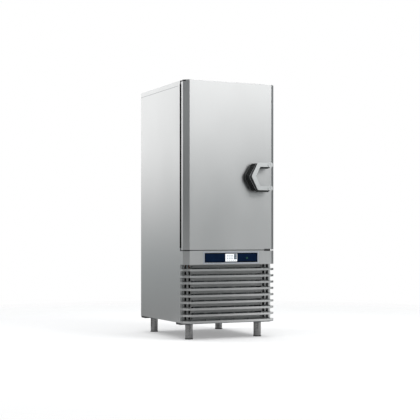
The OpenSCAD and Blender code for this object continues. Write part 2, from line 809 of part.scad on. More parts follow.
module each_compressor_foot() for (x = [-1, 1], y = [-1, 1])
    translate([compressor_x + x * foot_span_x / 2, compressor_y + y * foot_span_y / 2, 0]) children();

// Hermetic can with a domed top, a middle weld bead, a foot plate and a terminal box.
module compressor() color(black) cab() {
    difference() {
        translate([compressor_x, compressor_y, compressor_z0]) linear_extrude(4)
            square([foot_span_x + 2 * foot_plate_edge, foot_span_y + 2 * foot_plate_edge], center = true);
        each_compressor_foot() translate([0, 0, compressor_z0 - cut]) cylinder(r = 5, h = 6);
    }
    translate([compressor_x, compressor_y, compressor_z0 + 4]) rotate_extrude() polygon(concat(
        [[0, 0], [compressor_r - 12, 0], [compressor_r, 18], [compressor_r, compressor_h * 0.5],
            [compressor_r + 4, compressor_h * 0.5], [compressor_r + 4, compressor_h * 0.5 + 8],
            [compressor_r, compressor_h * 0.5 + 8], [compressor_r, compressor_h - 70]],
        [for (a = [15:15:90]) [compressor_r * cos(a), compressor_h - 70 + 60 * sin(a)]]));
    box([compressor_x - terminal_w / 2, compressor_y - compressor_r - terminal_d, terminal_z],
        [compressor_x + terminal_w / 2, compressor_y - compressor_r * 0.75, terminal_z + terminal_h]);
}

module compressor_mounts() color(black) cab() each_compressor_foot()
    translate([0, 0, base_z1 + fit]) difference() {
        rotate_extrude() polygon([[0, 0], [14, 0], [14, 6], [11, 9], [11, 12], [14, 15],
            [14, mount_h], [0, mount_h]]);
        translate([0, 0, -cut]) cylinder(r = 4, h = mount_h + 2 * cut);
    }

module liquid_receiver() color(black) cab() translate([receiver_x, compressor_y, base_z1 + fit]) {
    difference() {
        cylinder(r = receiver_r - 8, h = 20);
        translate([0, 0, -cut]) cylinder(r = receiver_r - 11, h = 20);
    }
    translate([0, 0, 15]) rotate_extrude() polygon(concat(
        [for (a = [-90:15:0]) [receiver_r * cos(a), receiver_dome * (1 + sin(a))]],
        [for (a = [0:15:90]) [receiver_r * cos(a), receiver_h - receiver_dome * (1 - sin(a))]]));
}

pipe_r = 6;
suction_r = 9;
riser_gap = 150;

// Four pipe runs: discharge, condenser to receiver, receiver to evaporator, and suction.
module refrigerant_pipes() color(copper) cab() {
    can_top = compressor_z0 + 4 + compressor_h - 10;
    top_run = door_z0 - 24;
    receiver_top = base_z1 + fit + 15 + receiver_h;
    port_y = condenser_y0 + 30;
    riser_y = condenser_y0 + condenser_d + riser_gap;
    side_x = condenser_hw + 24;
    suction_z = compressor_z0 + compressor_h * 0.7;
    outlet_x = receiver_x + 28;
    outlet_z = receiver_top + fit
        + receiver_dome * (sqrt(1 - pow((outlet_x - receiver_x - pipe_r) / receiver_r, 2)) - 1);
    pipe([[compressor_x, compressor_y, can_top + fit], [compressor_x, compressor_y, top_run],
        [-side_x, compressor_y, top_run], [-side_x, port_y, top_run],
        [-side_x, port_y, condenser_z1 - 20], [-condenser_hw - fit, port_y, condenser_z1 - 20]],
        pipe_r);
    pipe([[-condenser_hw - fit, port_y, condenser_z0 + 20], [-side_x, port_y, condenser_z0 + 20],
        [-side_x, riser_y, condenser_z0 + 20], [-side_x, riser_y, top_run - 40],
        [receiver_x, riser_y, top_run - 40], [receiver_x, compressor_y, top_run - 40],
        [receiver_x, compressor_y, receiver_top + fit]], pipe_r);
    pipe([[outlet_x, compressor_y, outlet_z], [outlet_x, compressor_y, receiver_top + 60],
        [outlet_x, pipe_pass_y, receiver_top + 60], [liquid_x, pipe_pass_y, receiver_top + 60],
        [liquid_x, pipe_pass_y, chamber_z0 + 40], [liquid_x, coil_y1 + fit, chamber_z0 + 40]], pipe_r);
    pipe([[suction_x, coil_y1 + fit, chamber_z0 + 60], [suction_x, pipe_pass_y, chamber_z0 + 60],
        [suction_x, pipe_pass_y, suction_z], [suction_x, compressor_y + compressor_r + fit, suction_z]],
        suction_r);
}

electric_w = 110;
electric_d = 240;
electric_h = 260;

module electrical_box() color([0.6, 0.6, 0.62]) cab() {
    z1 = door_z0 - 60;
    x1 = inner_x;
    y0 = condenser_motor_end - 60;
    box([x1 - electric_w, y0, z1 - electric_h], [x1, y0 + electric_d, z1]);
    box([x1 - electric_w - 3, y0 + 12, z1 - electric_h + 12],
        [x1 - electric_w + 1, y0 + electric_d - 12, z1 - 12]);
}

// Cable gland: thread with a lock nut inside the back panel, six-sided body and domed cap outside.
module mains_gland() color(black) cab() translate([gland_x, inner_y1 + fit, gland_z]) rotate([-90, 0, 0])
    difference() {
        union() {
            translate([0, 0, -12]) cylinder(r = gland_r, h = 12 + 2 * skin_t);
            translate([0, 0, -fit - 7]) cylinder(r = gland_r + 6, h = 7, $fn = 6);
            translate([0, 0, skin_t + fit]) cylinder(r = gland_r + 6, h = 7, $fn = 6);
            translate([0, 0, skin_t + 7]) cylinder(r = gland_r + 2, h = gland_z1 - skin_t - 7);
        }
        translate([0, 0, -12 - cut]) cylinder(r = gland_bore_r, h = 12 + gland_z1 + 2 * cut);
    }

strainer_rim = 14;
strainer_t = 2;
strainer_hole_r = 2.5;
drain_wall = 2.5;

// Drain: strainer flange on the chamber floor and a pipe through floor, compartment and base.
module drain_pipe() color([0.3, 0.3, 0.32]) cab() translate([0, drain_y, 0]) difference() {
    union() {
        translate([0, 0, chamber_z0 + fit]) cylinder(r = drain_r + strainer_rim, h = strainer_t);
        translate([0, 0, floor_gap]) cylinder(r = drain_r, h = chamber_z0 - floor_gap + 1);
        translate([0, 0, floor_gap - drain_drop]) cylinder(r = drain_r - 1, h = drain_drop + 1);
    }
    translate([0, 0, floor_gap - drain_drop - cut])
        cylinder(r = drain_r - drain_wall, h = chamber_z0 - floor_gap + drain_drop - 1);
    for (a = [0:60:300]) rotate([0, 0, a])
        translate([drain_r * 0.5, 0, chamber_z0 - 3]) cylinder(r = strainer_hole_r, h = 8);
}

// ---- Evaporator, fans and air panel ----

coil_gap_x = 55;
coil_gap_z = 35;

module evaporator_coil() color([0.62, 0.64, 0.66]) cab() {
    hw = chamber_w / 2 - coil_gap_x;
    z0 = chamber_z0 + coil_gap_z;
    z1 = chamber_z1 - coil_gap_z;
    depth = coil_y1 - coil_y0;
    row_inset = depth * coil_row_share;
    fin_block([-hw, coil_y0, z0], [hw, coil_y1, z1], 15, 8, depth / 10);
    on_both_sides() {
        return_bends(hw, coil_y0 + row_inset, coil_y1 - row_inset, z0, z1, 12, 6);
        box([hw - coil_leg_w, coil_y1 - cut, z0 + 2 * coil_gap_z],
            [hw, chamber_d - fit, z1 - 2 * coil_gap_z]);
    }
}

fan_heights = [fan_mid_z + fan_step, fan_mid_z, fan_mid_z - fan_step];
fan_panel_return = 24;
fan_collar_l = 30;
air_slit = 40;
side_slit_w = 40;
side_slit_h = 18;
side_slit_pitch = 60;
side_slit_x = chamber_w / 2 - 50;

// Sheet across the chamber with three collared fan openings, folded sides and air slits.
module fan_panel() color(steel) cab() {
    hw = chamber_w / 2 - fit;
    z0 = chamber_z0 + fit;
    z1 = chamber_z1 - air_slit;
    difference() {
        union() {
            box([-hw, fan_panel_y, z0], [hw, fan_panel_y + panel_t, z1]);
            on_both_sides() box([hw - panel_t, fan_panel_y, z0], [hw, fan_panel_y + fan_panel_return, z1]);
            for (z = fan_heights)
                y_cylinder(0, fan_panel_y, z, fan_r + collar_gap + panel_t, fan_collar_l);
        }
        for (z = fan_heights)
            y_cylinder(0, fan_panel_y - cut, z, fan_r + collar_gap, fan_collar_l + 2 * cut);
        on_both_sides() for (z = [z0 + side_slit_pitch:side_slit_pitch:z1 - side_slit_pitch])
            box([side_slit_x - side_slit_w / 2, fan_panel_y - cut, z],
                [side_slit_x + side_slit_w / 2, fan_panel_y + panel_t + cut, z + side_slit_h]);
    }
}

guard_t = 5;
guard_wire = 3;
guard_hub_r = 22;
guard_rings = 6;

// Guard: concentric flat rings on six spokes that stand out of a middle disc.
module guard(z) translate([0, fan_panel_y - fit - guard_t, z]) rotate([-90, 0, 0]) {
    outer = fan_r + collar_gap + 14;
    cylinder(r = guard_hub_r, h = guard_t);
    for (i = [1:guard_rings]) difference() {
        r = guard_hub_r + i * (outer - guard_hub_r) / guard_rings;
        cylinder(r = r, h = guard_t);
        translate([0, 0, -cut]) cylinder(r = r - guard_wire, h = guard_t + 2 * cut);
    }
    for (a = [0:60:300]) rotate([0, 0, a])
        translate([guard_hub_r - 5, -guard_wire / 2, 0.5])
            cube([outer - guard_hub_r + 4, guard_wire, guard_t - 1]);
}

module fan_guards() color(steel) cab() for (z = fan_heights) guard(z);

module fan_top() color(black) fan(fan_r, fan_y, fan_heights[0]);
module fan_middle() color(black) fan(fan_r, fan_y, fan_heights[1]);
module fan_bottom() color(black) fan(fan_r, fan_y, fan_heights[2]);

module fan_motors() color(dark_steel) cab()
    for (z = fan_heights) fan_motor(fan_r, fan_y, z, fan_panel_y + panel_t);

// ---- Tray racks ----

upright_w = 15;
upright_d = 22;
upright_x = chamber_w / 2 - fit - upright_w;
hook_l = 4;
runner_t = 3;
runner_bearing = 15;
upright_ys = [rack_y0 + 20, rack_y1 - 60];

// Two uprights each side, standing on the chamber floor and held against its walls.
module rack_uprights() color(steel) cab() on_both_sides() for (y = upright_ys) difference() {
    box([upright_x, y, chamber_z0 + fit],
        [chamber_w / 2 - fit, y + upright_d, rack_z0 + tray_levels * tray_pitch - 20]);
    for (i = [0:tray_levels - 1])
        box([upright_x - cut, y - cut, rack_z0 + i * tray_pitch - fit],
            [upright_x + hook_l, y + upright_d + cut, rack_z0 + i * tray_pitch + runner_t + fit]);
}

// Flat runners that hook into the slots of the uprights.
module tray_runners(side) color(steel) cab() on_side(side) for (i = [0:tray_levels - 1])
    box([tray_w / 2 - runner_bearing, rack_y0, rack_z0 + i * tray_pitch],
        [upright_x + hook_l - fit, rack_y1, rack_z0 + i * tray_pitch + runner_t]);

module tray_runners_left() tray_runners(-1);
module tray_runners_right() tray_runners(1);

// Socket for the core probe, on the chamber's right wall between the uprights.
module probe_socket() color(black) cab()
    translate([chamber_w / 2 - fit, (upright_ys[0] + upright_ys[1]) / 2 + 11, rack_z0 + 2.5 * tray_pitch])
        rotate([0, -90, 0]) difference() {
            union() {
                cylinder(r = 14, h = 3);
                cylinder(r = 9, h = 9);
            }
            translate([0, 0, 4]) cylinder(r = 5, h = 9);
        }

// ---- Door ----

// Cuts the door's upper hinge corner down to z: a round pocket for the arm's head, and the way
// the arm takes as the door opens. margin widens the cut for the cap's wall.
module hinge_notch(z, margin = 0) {
    box([-half_w - cut, hinge_y, z], [hinge_x + arm_r + head_play + margin, cut, door_z1 + cut]);
    translate([hinge_x, hinge_y, z]) cylinder(r = head_r + head_play + margin, h = door_z1 + cut - z);
}

pan_y1 = -door_gap - skin_t - fit;
pan_y0 = pan_y1 - pan_t;
foam_y1 = pan_y0 - fit;

module door_skin() color(steel) cab() difference() {
    union() {
        difference() {
            front_prism(0, -door_gap, door_z0, door_z1);
            front_prism(skin_t, cut, door_z0 - cut, door_z1 + cut);
        }
        on_both_sides()
            box([half_w - door_return, -door_gap - skin_t, door_z0], [half_w, -door_gap, door_z1]);
    }
    hinge_notch(notch_z);
}

// A box around the pressed field of the pan.
plug_inset = 17;

module plug_box(inset, y0, y1) chamber_box(-plug_inset - inset, y0, y1);

module door_pan() color(steel) cab() difference() {
    union() {
        box([-inner_x, pan_y0, door_z0 + cap_t + fit], [inner_x, pan_y1, door_z1 - cap_t - fit]);
        plug_box(0, pan_y0, -door_gap + pan_plug_h);
    }
    plug_box(pan_t, pan_y0 - cut, -door_gap + pan_plug_h - pan_t);
    hinge_notch(notch_z - cap_t - fit, cap_t + fit);
}

module bush_pocket() translate([hinge_x, hinge_y, -cut]) cylinder(r = bush_r + fit, h = bush_l + 4);

module door_foam() color(foam) cab() difference() {
    union() {
        front_prism(skin_t + fit, foam_y1, door_z0 + cap_t + fit, door_z1 - cap_t - fit);
        plug_box(pan_t + fit, foam_y1 - cut, -door_gap + pan_plug_h - pan_t - fit);
    }
    hinge_notch(notch_z - cap_t - fit, cap_t + fit);
    translate([0, 0, door_z0]) bush_pocket();
    translate([0, 0, notch_z]) mirror([0, 0, 1]) bush_pocket();
}

// Closes both ends of the door; the upper one steps down over the hinge.
module door_end_caps() color(steel) cab() {
    difference() {
        front_prism(skin_t + fit, pan_y1, door_z0, door_z0 + cap_t);
        translate([hinge_x, hinge_y, door_z0 - cut]) cylinder(r = bush_r + fit, h = cap_t + 2 * cut);
    }
    difference() {
        front_prism(skin_t + fit, pan_y1, notch_z - cap_t, door_z1);
        hinge_notch(notch_z);
        difference() {
            box([-half_w, -front_reach - cut, notch_z - cap_t - cut], [half_w, 0, door_z1 - cap_t]);
            hinge_notch(notch_z - cap_t - 2 * cut, cap_t);
        }
        translate([hinge_x, hinge_y, notch_z - cap_t - cut])
            cylinder(r = bush_r + fit, h = cap_t + 2 * cut);
    }
}

gasket_y0 = pan_y1 + fit;
gasket_y1 = -0.3;
gasket_base_t = 5;
gasket_head_t = 7;

module gasket_ring(outer_inset, inner_inset, y0, y1) difference() {
    chamber_box(gasket_inset + gasket_w - outer_inset, y0, y1);
    chamber_box(gasket_inset + inner_inset, y0 - cut, y1 + cut);
}

// Magnetic gasket: foot on the pan, narrow bellows and a wide sealing head.
module door_gasket() color(black) cab() {
    gasket_ring(2, 2, gasket_y0, gasket_y0 + gasket_base_t);
    gasket_ring(7, 7, gasket_y0 + gasket_base_t - cut, gasket_y1 - gasket_head_t + cut);
    gasket_ring(0, 0, gasket_y1 - gasket_head_t, gasket_y1);
}

// ---- Handle ----

handle_nose = 5;    // half the height of the blunt point of the half hexagon
nose_growth = 0.4;  // how much of the grip's growth that point takes up
outer_r = 10;
outer_r_growth = 0.3;

// Half-hexagon band seen from the front: the outer edge, then the inner edge back again.
// grow widens the outer edge to the left, and swell widens it up and down.
function handle_outline(grow, swell) = let(
    half = handle_h / 2,
    corner_x = handle_post_x - handle_arm,
    point_x = corner_x - handle_point,
    slope = norm([handle_point, half]),
    tip = handle_band * slope / half,
    inner_half = half - handle_band,
    inner_x1 = point_x + tip + handle_point * inner_half / half,
    nose = handle_nose + grow * nose_growth
) concat(
    rounded([[handle_post_x, half + swell], [corner_x - grow, half + swell],
        [point_x - grow, nose], [point_x - grow, -nose], [corner_x - grow, -half - swell],
        [handle_post_x, -half - swell]], outer_r + grow * outer_r_growth),
    rounded([[handle_post_x, -inner_half], [inner_x1, -inner_half], [point_x + tip, 0],
        [inner_x1, inner_half], [handle_post_x, inner_half]], 6));

handle_post_r = 13;
handle_mid_arm = handle_h / 2 - handle_band / 2;

module each_post() for (z = [-1, 1]) translate([handle_post_x, 0, handle_z + z * handle_mid_arm]) children();

// One slice of the handle between two distances from the door's front, with round ends and post holes.
// drop lowers its band against the posts.
module handle_slice(from, to, grow, swell, hole_r, drop) translate([0, -front_reach - from, 0]) difference() {
    union() {
        translate([0, 0, handle_z - drop]) rotate([90, 0, 0]) linear_extrude(to - from)
            polygon(handle_outline(grow, swell));
        each_post() rotate([90, 0, 0]) cylinder(r = handle_band / 2 + swell, h = to - from);
    }
    each_post() translate([0, cut, 0]) rotate([90, 0, 0]) cylinder(r = hole_r, h = to - from + 2 * cut);
}

module handle_plate() color([0.82, 0.83, 0.83]) cab()
    handle_slice(handle_reach - plate_t, handle_reach, 0, 0, 4.2, 0);

grip_steps = 5;
grip_drop = 6;      // how far the grip hangs below the steel plate

// Black grip: stacked steps that widen from the steel plate towards the door.
module handle_grip() color(black) cab() {
    depth = handle_reach - plate_t - fit - handle_clear;
    step = depth / grip_steps;
    for (i = [0:grip_steps - 1])
        handle_slice(handle_clear + i * step, handle_clear + (i + 1) * step,
            handle_taper * (1 - i / grip_steps), i % 2 == 0 ? 0 : -2, handle_post_r + fit, grip_drop);
}

module handle_posts() color(steel) cab() each_post() translate([0, -front_reach - fit, 0]) rotate([90, 0, 0])
    cylinder(r = handle_post_r, h = handle_reach - plate_t - 2 * fit);

// Round caps with a screwdriver slot, on a short stud that passes through the plate.
module handle_caps() color([0.8, 0.81, 0.82]) cab() each_post() translate([0, -front_reach - handle_reach, 0])
    rotate([90, 0, 0]) difference() {
        union() {
            translate([0, 0, fit]) cylinder(r = post_cap_d / 2, h = post_cap_h - fit);
            translate([0, 0, -plate_t]) cylinder(r = 4, h = plate_t + 1);
        }
        rotate([0, 0, -60]) translate([-post_cap_d * 0.35, -1.5, post_cap_h - 1.5])
            cube([post_cap_d * 0.7, 3, 4]);
    }

side_panel_left();
side_panel_right();
back_panel();
top_cover();
insulation();
chamber_liner();
front_frame();
base_frame();
legs();
foot_front_left();
foot_front_right();
foot_rear_left();
foot_rear_right();
hinge_bracket_top();
hinge_bracket_bottom();
door_switch();
closing_ramp();
control_fascia();
control_bezel();
touch_glass();
display_screen();
status_light();
control_housing();
grille_core();
grille_slats();
grille_screws();
condenser_coil();
condenser_shroud();
condenser_fan();
condenser_fan_motor();
compressor();
compressor_mounts();
liquid_receiver();
refrigerant_pipes();
electrical_box();
mains_gland();
drain_pipe();
evaporator_coil();
fan_panel();
fan_guards();
fan_top();
fan_middle();
fan_bottom();
fan_motors();
rack_uprights();
tray_runners_left();
tray_runners_right();
probe_socket();
door_skin();
door_pan();
door_foam();
door_end_caps();
door_gasket();
hinge_bushes();
door_magnet();
handle_grip();
handle_plate();
handle_posts();
handle_caps();
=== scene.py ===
"""Looks of the blast chiller: finishes, small details, floor, lights and camera round its frame.

Lengths are in metres, in the frame's own axes: +X right, +Y back, +Z up, floor at z = 0.
"""

import json
import math

import bmesh
import bpy
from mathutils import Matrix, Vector


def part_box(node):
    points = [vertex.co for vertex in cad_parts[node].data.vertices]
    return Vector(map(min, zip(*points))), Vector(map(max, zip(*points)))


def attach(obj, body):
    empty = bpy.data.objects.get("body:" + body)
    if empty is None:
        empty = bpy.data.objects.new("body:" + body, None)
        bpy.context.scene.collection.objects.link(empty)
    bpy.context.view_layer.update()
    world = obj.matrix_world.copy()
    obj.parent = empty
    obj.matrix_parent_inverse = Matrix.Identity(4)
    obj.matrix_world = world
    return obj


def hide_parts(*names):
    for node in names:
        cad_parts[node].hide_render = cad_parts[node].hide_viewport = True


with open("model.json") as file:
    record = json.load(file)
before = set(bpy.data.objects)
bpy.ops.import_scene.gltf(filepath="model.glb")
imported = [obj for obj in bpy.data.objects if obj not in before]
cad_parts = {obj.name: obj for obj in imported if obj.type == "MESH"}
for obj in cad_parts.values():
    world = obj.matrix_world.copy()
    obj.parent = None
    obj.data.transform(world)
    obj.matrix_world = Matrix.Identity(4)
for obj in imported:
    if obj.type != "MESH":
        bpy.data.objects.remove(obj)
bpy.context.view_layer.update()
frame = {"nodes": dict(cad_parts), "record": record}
MM = 0.001
scene = bpy.context.scene

# Places that the details below are worked out from
glass_lo, glass_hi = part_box("touch_glass")
screen_lo, screen_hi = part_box("display_screen")
lamp_lo, lamp_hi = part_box("status_light")
back_lo, back_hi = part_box("back_panel")
gasket_lo, gasket_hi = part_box("door_gasket")


# ---- Node helpers ----


def add_node(tree, kind, **settings):
    made = tree.nodes.new(kind)
    for key, value in settings.items():
        setattr(made, key, value)
    return made


class Finish:
    """A Principled material with helpers for textures in the frame's own metres."""

    def __init__(self, name, colour, roughness, metallic=0.0):
        self.material = bpy.data.materials.new(name)
        self.material.use_nodes = True
        self.tree = self.material.node_tree
        self.shader = self.tree.nodes["Principled BSDF"]
        self.colour = colour
        self.set("Base Color", (*colour, 1.0))
        self.set("Roughness", roughness)
        self.set("Metallic", metallic)
        self.place = self.node("ShaderNodeTexCoord").outputs["Object"]

    def node(self, kind, **settings):
        return add_node(self.tree, kind, **settings)

    def link(self, output, socket):
        self.tree.links.new(output, socket)

    def set(self, socket, value):
        self.shader.inputs[socket].default_value = value

    def stretched(self, scale):
        """The place coordinates multiplied by scale, one factor per axis."""
        mapping = self.node("ShaderNodeMapping")
        mapping.inputs["Scale"].default_value = scale
        self.link(self.place, mapping.inputs["Vector"])
        return mapping.outputs["Vector"]

    def noise(self, scale, detail=3.0, rough=0.5):
        texture = self.node("ShaderNodeTexNoise")
        texture.inputs["Scale"].default_value = 1.0
        texture.inputs["Detail"].default_value = detail
        texture.inputs["Roughness"].default_value = rough
        self.link(self.stretched(scale), texture.inputs["Vector"])
        return texture.outputs["Fac"]

    def spread(self, value, low, high, low_in=0.3, high_in=0.7):
        """Maps a value between low_in and high_in to the range from low to high."""
        mapped = self.node("ShaderNodeMapRange")
        mapped.inputs["From Min"].default_value = low_in
        mapped.inputs["From Max"].default_value = high_in
        mapped.inputs["To Min"].default_value = low
        mapped.inputs["To Max"].default_value = high
        self.link(value, mapped.inputs["Value"])
        return mapped.outputs["Result"]

    def maths(self, operation, *values):
        made = self.node("ShaderNodeMath", operation=operation)
        for socket, value in zip(made.inputs, values):
            if isinstance(value, (int, float)):
                socket.default_value = value
            else:
                self.link(value, socket)
        return made.outputs["Value"]

    def mix(self, factor, first, second):
        made = self.node("ShaderNodeMix", data_type="RGBA")
        self.link(factor, made.inputs["Factor"])
        for socket, value in ((made.inputs["A"], first), (made.inputs["B"], second)):
            if isinstance(value, tuple):
                socket.default_value = (*value, 1.0)
            else:
                self.link(value, socket)
        return made.outputs["Result"]

    def tones(self, darkest, lightest):
        """The finish's own colour times two brightness factors."""
        low = tuple(c * darkest for c in self.colour)
        high = tuple(min(1.0, c * lightest) for c in self.colour)
        return low, high

    def shade(self, value, darkest, lightest):
        """Base colour that runs between two brightness factors of the finish's own colour."""
        mixed = self.mix(self.spread(value, 0.0, 1.0), *self.tones(darkest, lightest))
        self.link(mixed, self.shader.inputs["Base Color"])

    def wear(self, value, least, most):
        """Roughness that runs between two values."""
        self.link(self.spread(value, least, most), self.shader.inputs["Roughness"])

    def bump(self, value, strength, depth):
        made = self.node("ShaderNodeBump")
        made.inputs["Strength"].default_value = strength
        made.inputs["Distance"].default_value = depth
        self.link(value, made.inputs["Height"])
        self.link(made.outputs["Normal"], self.shader.inputs["Normal"])


# Texture scales, in cycles per metre along each axis
GRAIN_VERTICAL = (900.0, 900.0, 9.0)
GRAIN_ACROSS = (9.0, 900.0, 900.0)
ROLLING_CLOUDS = (2.2, 2.2, 1.1)
FIN_LINES = (2200.0, 40.0, 3.0)
RUBBER_BLOOM = (30.0, 30.0, 14.0)
COPPER_PATCHES = (18.0, 18.0, 30.0)


def even(scale):
    return (scale, scale, scale)


def brushed_steel(name, colour, roughness, grain=GRAIN_VERTICAL, clouds=0.03):
    """Stainless steel with long fine scratches, and faint clouds from rolling and wiping."""
    finish = Finish(name, colour, roughness, metallic=1.0)
    scratches = finish.noise(grain, detail=4.0, rough=0.7)
    cloud = finish.noise(ROLLING_CLOUDS, detail=2.0)
    halves = [finish.maths("MULTIPLY", value, 0.5) for value in (scratches, cloud)]
    both = finish.maths("ADD", *halves)
    finish.shade(both, darkest=1.0 - clouds, lightest=1.0 + clouds)
    finish.wear(both, least=roughness - 0.05, most=roughness + 0.06)
    finish.bump(scratches, strength=0.12, depth=0.00008)
    return finish.material


def moulded_plastic(name, colour, roughness, texture=0.15):
    """Moulded plastic with the fine pebbling of a spark-eroded mould."""
    finish = Finish(name, colour, roughness)
    pebbles = finish.noise(even(1400.0), detail=2.0)
    smears = finish.noise(even(9.0), detail=3.0)
    finish.shade(smears, darkest=0.85, lightest=1.2)
    finish.wear(smears, least=roughness - 0.07, most=roughness + 0.08)
    finish.bump(pebbles, strength=texture, depth=0.00012)
    return finish.material


def soft_rubber(name, colour):
    """Matt rubber with a dusty bloom."""
    finish = Finish(name, colour, roughness=0.75)
    bloom = finish.noise(RUBBER_BLOOM, detail=4.0)
    finish.shade(bloom, darkest=0.8, lightest=1.6)
    finish.wear(bloom, least=0.66, most=0.86)
    finish.bump(finish.noise(even(800.0)), strength=0.2, depth=0.0001)
    finish.set("Specular IOR Level", 0.08)
    return finish.material


def painted_casting(name, colour, roughness):
    """Thick machine paint with orange peel."""
    finish = Finish(name, colour, roughness)
    peel = finish.noise(even(260.0), detail=1.5)
    dust = finish.noise(even(12.0), detail=4.0)
    finish.shade(dust, darkest=0.85, lightest=1.35)
    finish.wear(dust, least=roughness - 0.05, most=roughness + 0.15)
    finish.bump(peel, strength=0.25, depth=0.0003)
    finish.set("Coat Weight", 0.2)
    finish.set("Coat Roughness", 0.25)
    return finish.material


def cut_foam(name, colour):
    """Rigid foam: fine open cells and darker patches."""
    finish = Finish(name, colour, roughness=0.95)
    cells = finish.node("ShaderNodeTexVoronoi")
    cells.inputs["Scale"].default_value = 1.0
    finish.link(finish.stretched(even(700.0)), cells.inputs["Vector"])
    finish.shade(finish.noise(even(20.0), detail=5.0), darkest=0.82, lightest=1.08)
    finish.bump(cells.outputs["Distance"], strength=0.5, depth=0.0006)
    finish.set("Specular IOR Level", 0.2)
    return finish.material


def coil_fins(name, colour):
    """Thin aluminium fins, drawn as fine upright lines over the block."""
    finish = Finish(name, colour, roughness=0.42, metallic=1.0)
    lines = finish.noise(FIN_LINES, detail=1.0)
    finish.shade(lines, darkest=0.6, lightest=1.15)
    finish.wear(finish.noise(even(25.0)), least=0.36, most=0.55)
    finish.bump(lines, strength=0.5, depth=0.0004)
    return finish.material


TARNISH = (0.42, 0.17, 0.09)


def old_copper(name, colour):
    """Copper pipe, dulled in patches: dark and rough against bright and smooth."""
    finish = Finish(name, colour, roughness=0.35, metallic=1.0)
    patches = finish.noise(COPPER_PATCHES, detail=5.0, rough=0.6)
    mixed = finish.mix(finish.spread(patches, 0.0, 1.0), TARNISH, colour)
    finish.link(mixed, finish.shader.inputs["Base Color"])
    finish.link(finish.spread(patches, 0.5, 0.28), finish.shader.inputs["Roughness"])
    finish.bump(patches, strength=0.1, depth=0.0002)
    return finish.material


# Black print of the touch glass: its colour, and how far from the edge it ends and the blue is full
PRINT_BLACK = (0.002, 0.002, 0.003)
PRINT_END = 4 * MM
BLUE_START = 9 * MM


def panel_glass(name, colour):
    """Dark blue touch glass that is printed black along its edge."""
    finish = Finish(name, colour, roughness=0.08)
    middle = (glass_lo + glass_hi) / 2
    half = (glass_hi - glass_lo) / 2
    split = finish.node("ShaderNodeSeparateXYZ")
    finish.link(finish.place, split.inputs["Vector"])
    edges = []
    for axis, centre, reach in (("X", middle.x, half.x), ("Z", middle.z, half.z)):
        off_centre = finish.maths("ABSOLUTE", finish.maths("SUBTRACT", split.outputs[axis], centre))
        edges.append(finish.maths("SUBTRACT", reach, off_centre))
    edge = finish.maths("MINIMUM", *edges)
    printed = finish.spread(edge, 0.0, 1.0, low_in=PRINT_END, high_in=BLUE_START)
    haze = finish.noise(even(14.0), detail=3.0)
    lit = finish.mix(finish.spread(haze, 0.0, 1.0), *finish.tones(darkest=0.8, lightest=1.25))
    finish.link(finish.mix(printed, PRINT_BLACK, lit), finish.shader.inputs["Base Color"])
    finish.wear(haze, least=0.05, most=0.12)
    finish.set("Specular IOR Level", 0.12)
    return finish.material


def lit_panel(name, colour, glow, dim=0.94):
    """A surface that is lit from behind, a little uneven over its width."""
    finish = Finish(name, colour, roughness=0.25)
    patches = finish.noise(even(60.0), detail=2.0)
    finish.shade(patches, darkest=dim, lightest=1.0)
    finish.set("Emission Color", (*colour, 1.0))
    finish.set("Emission Strength", glow)
    finish.wear(patches, least=0.2, most=0.3)
    return finish.material


SHEET_STEEL = (0.55, 0.555, 0.555)

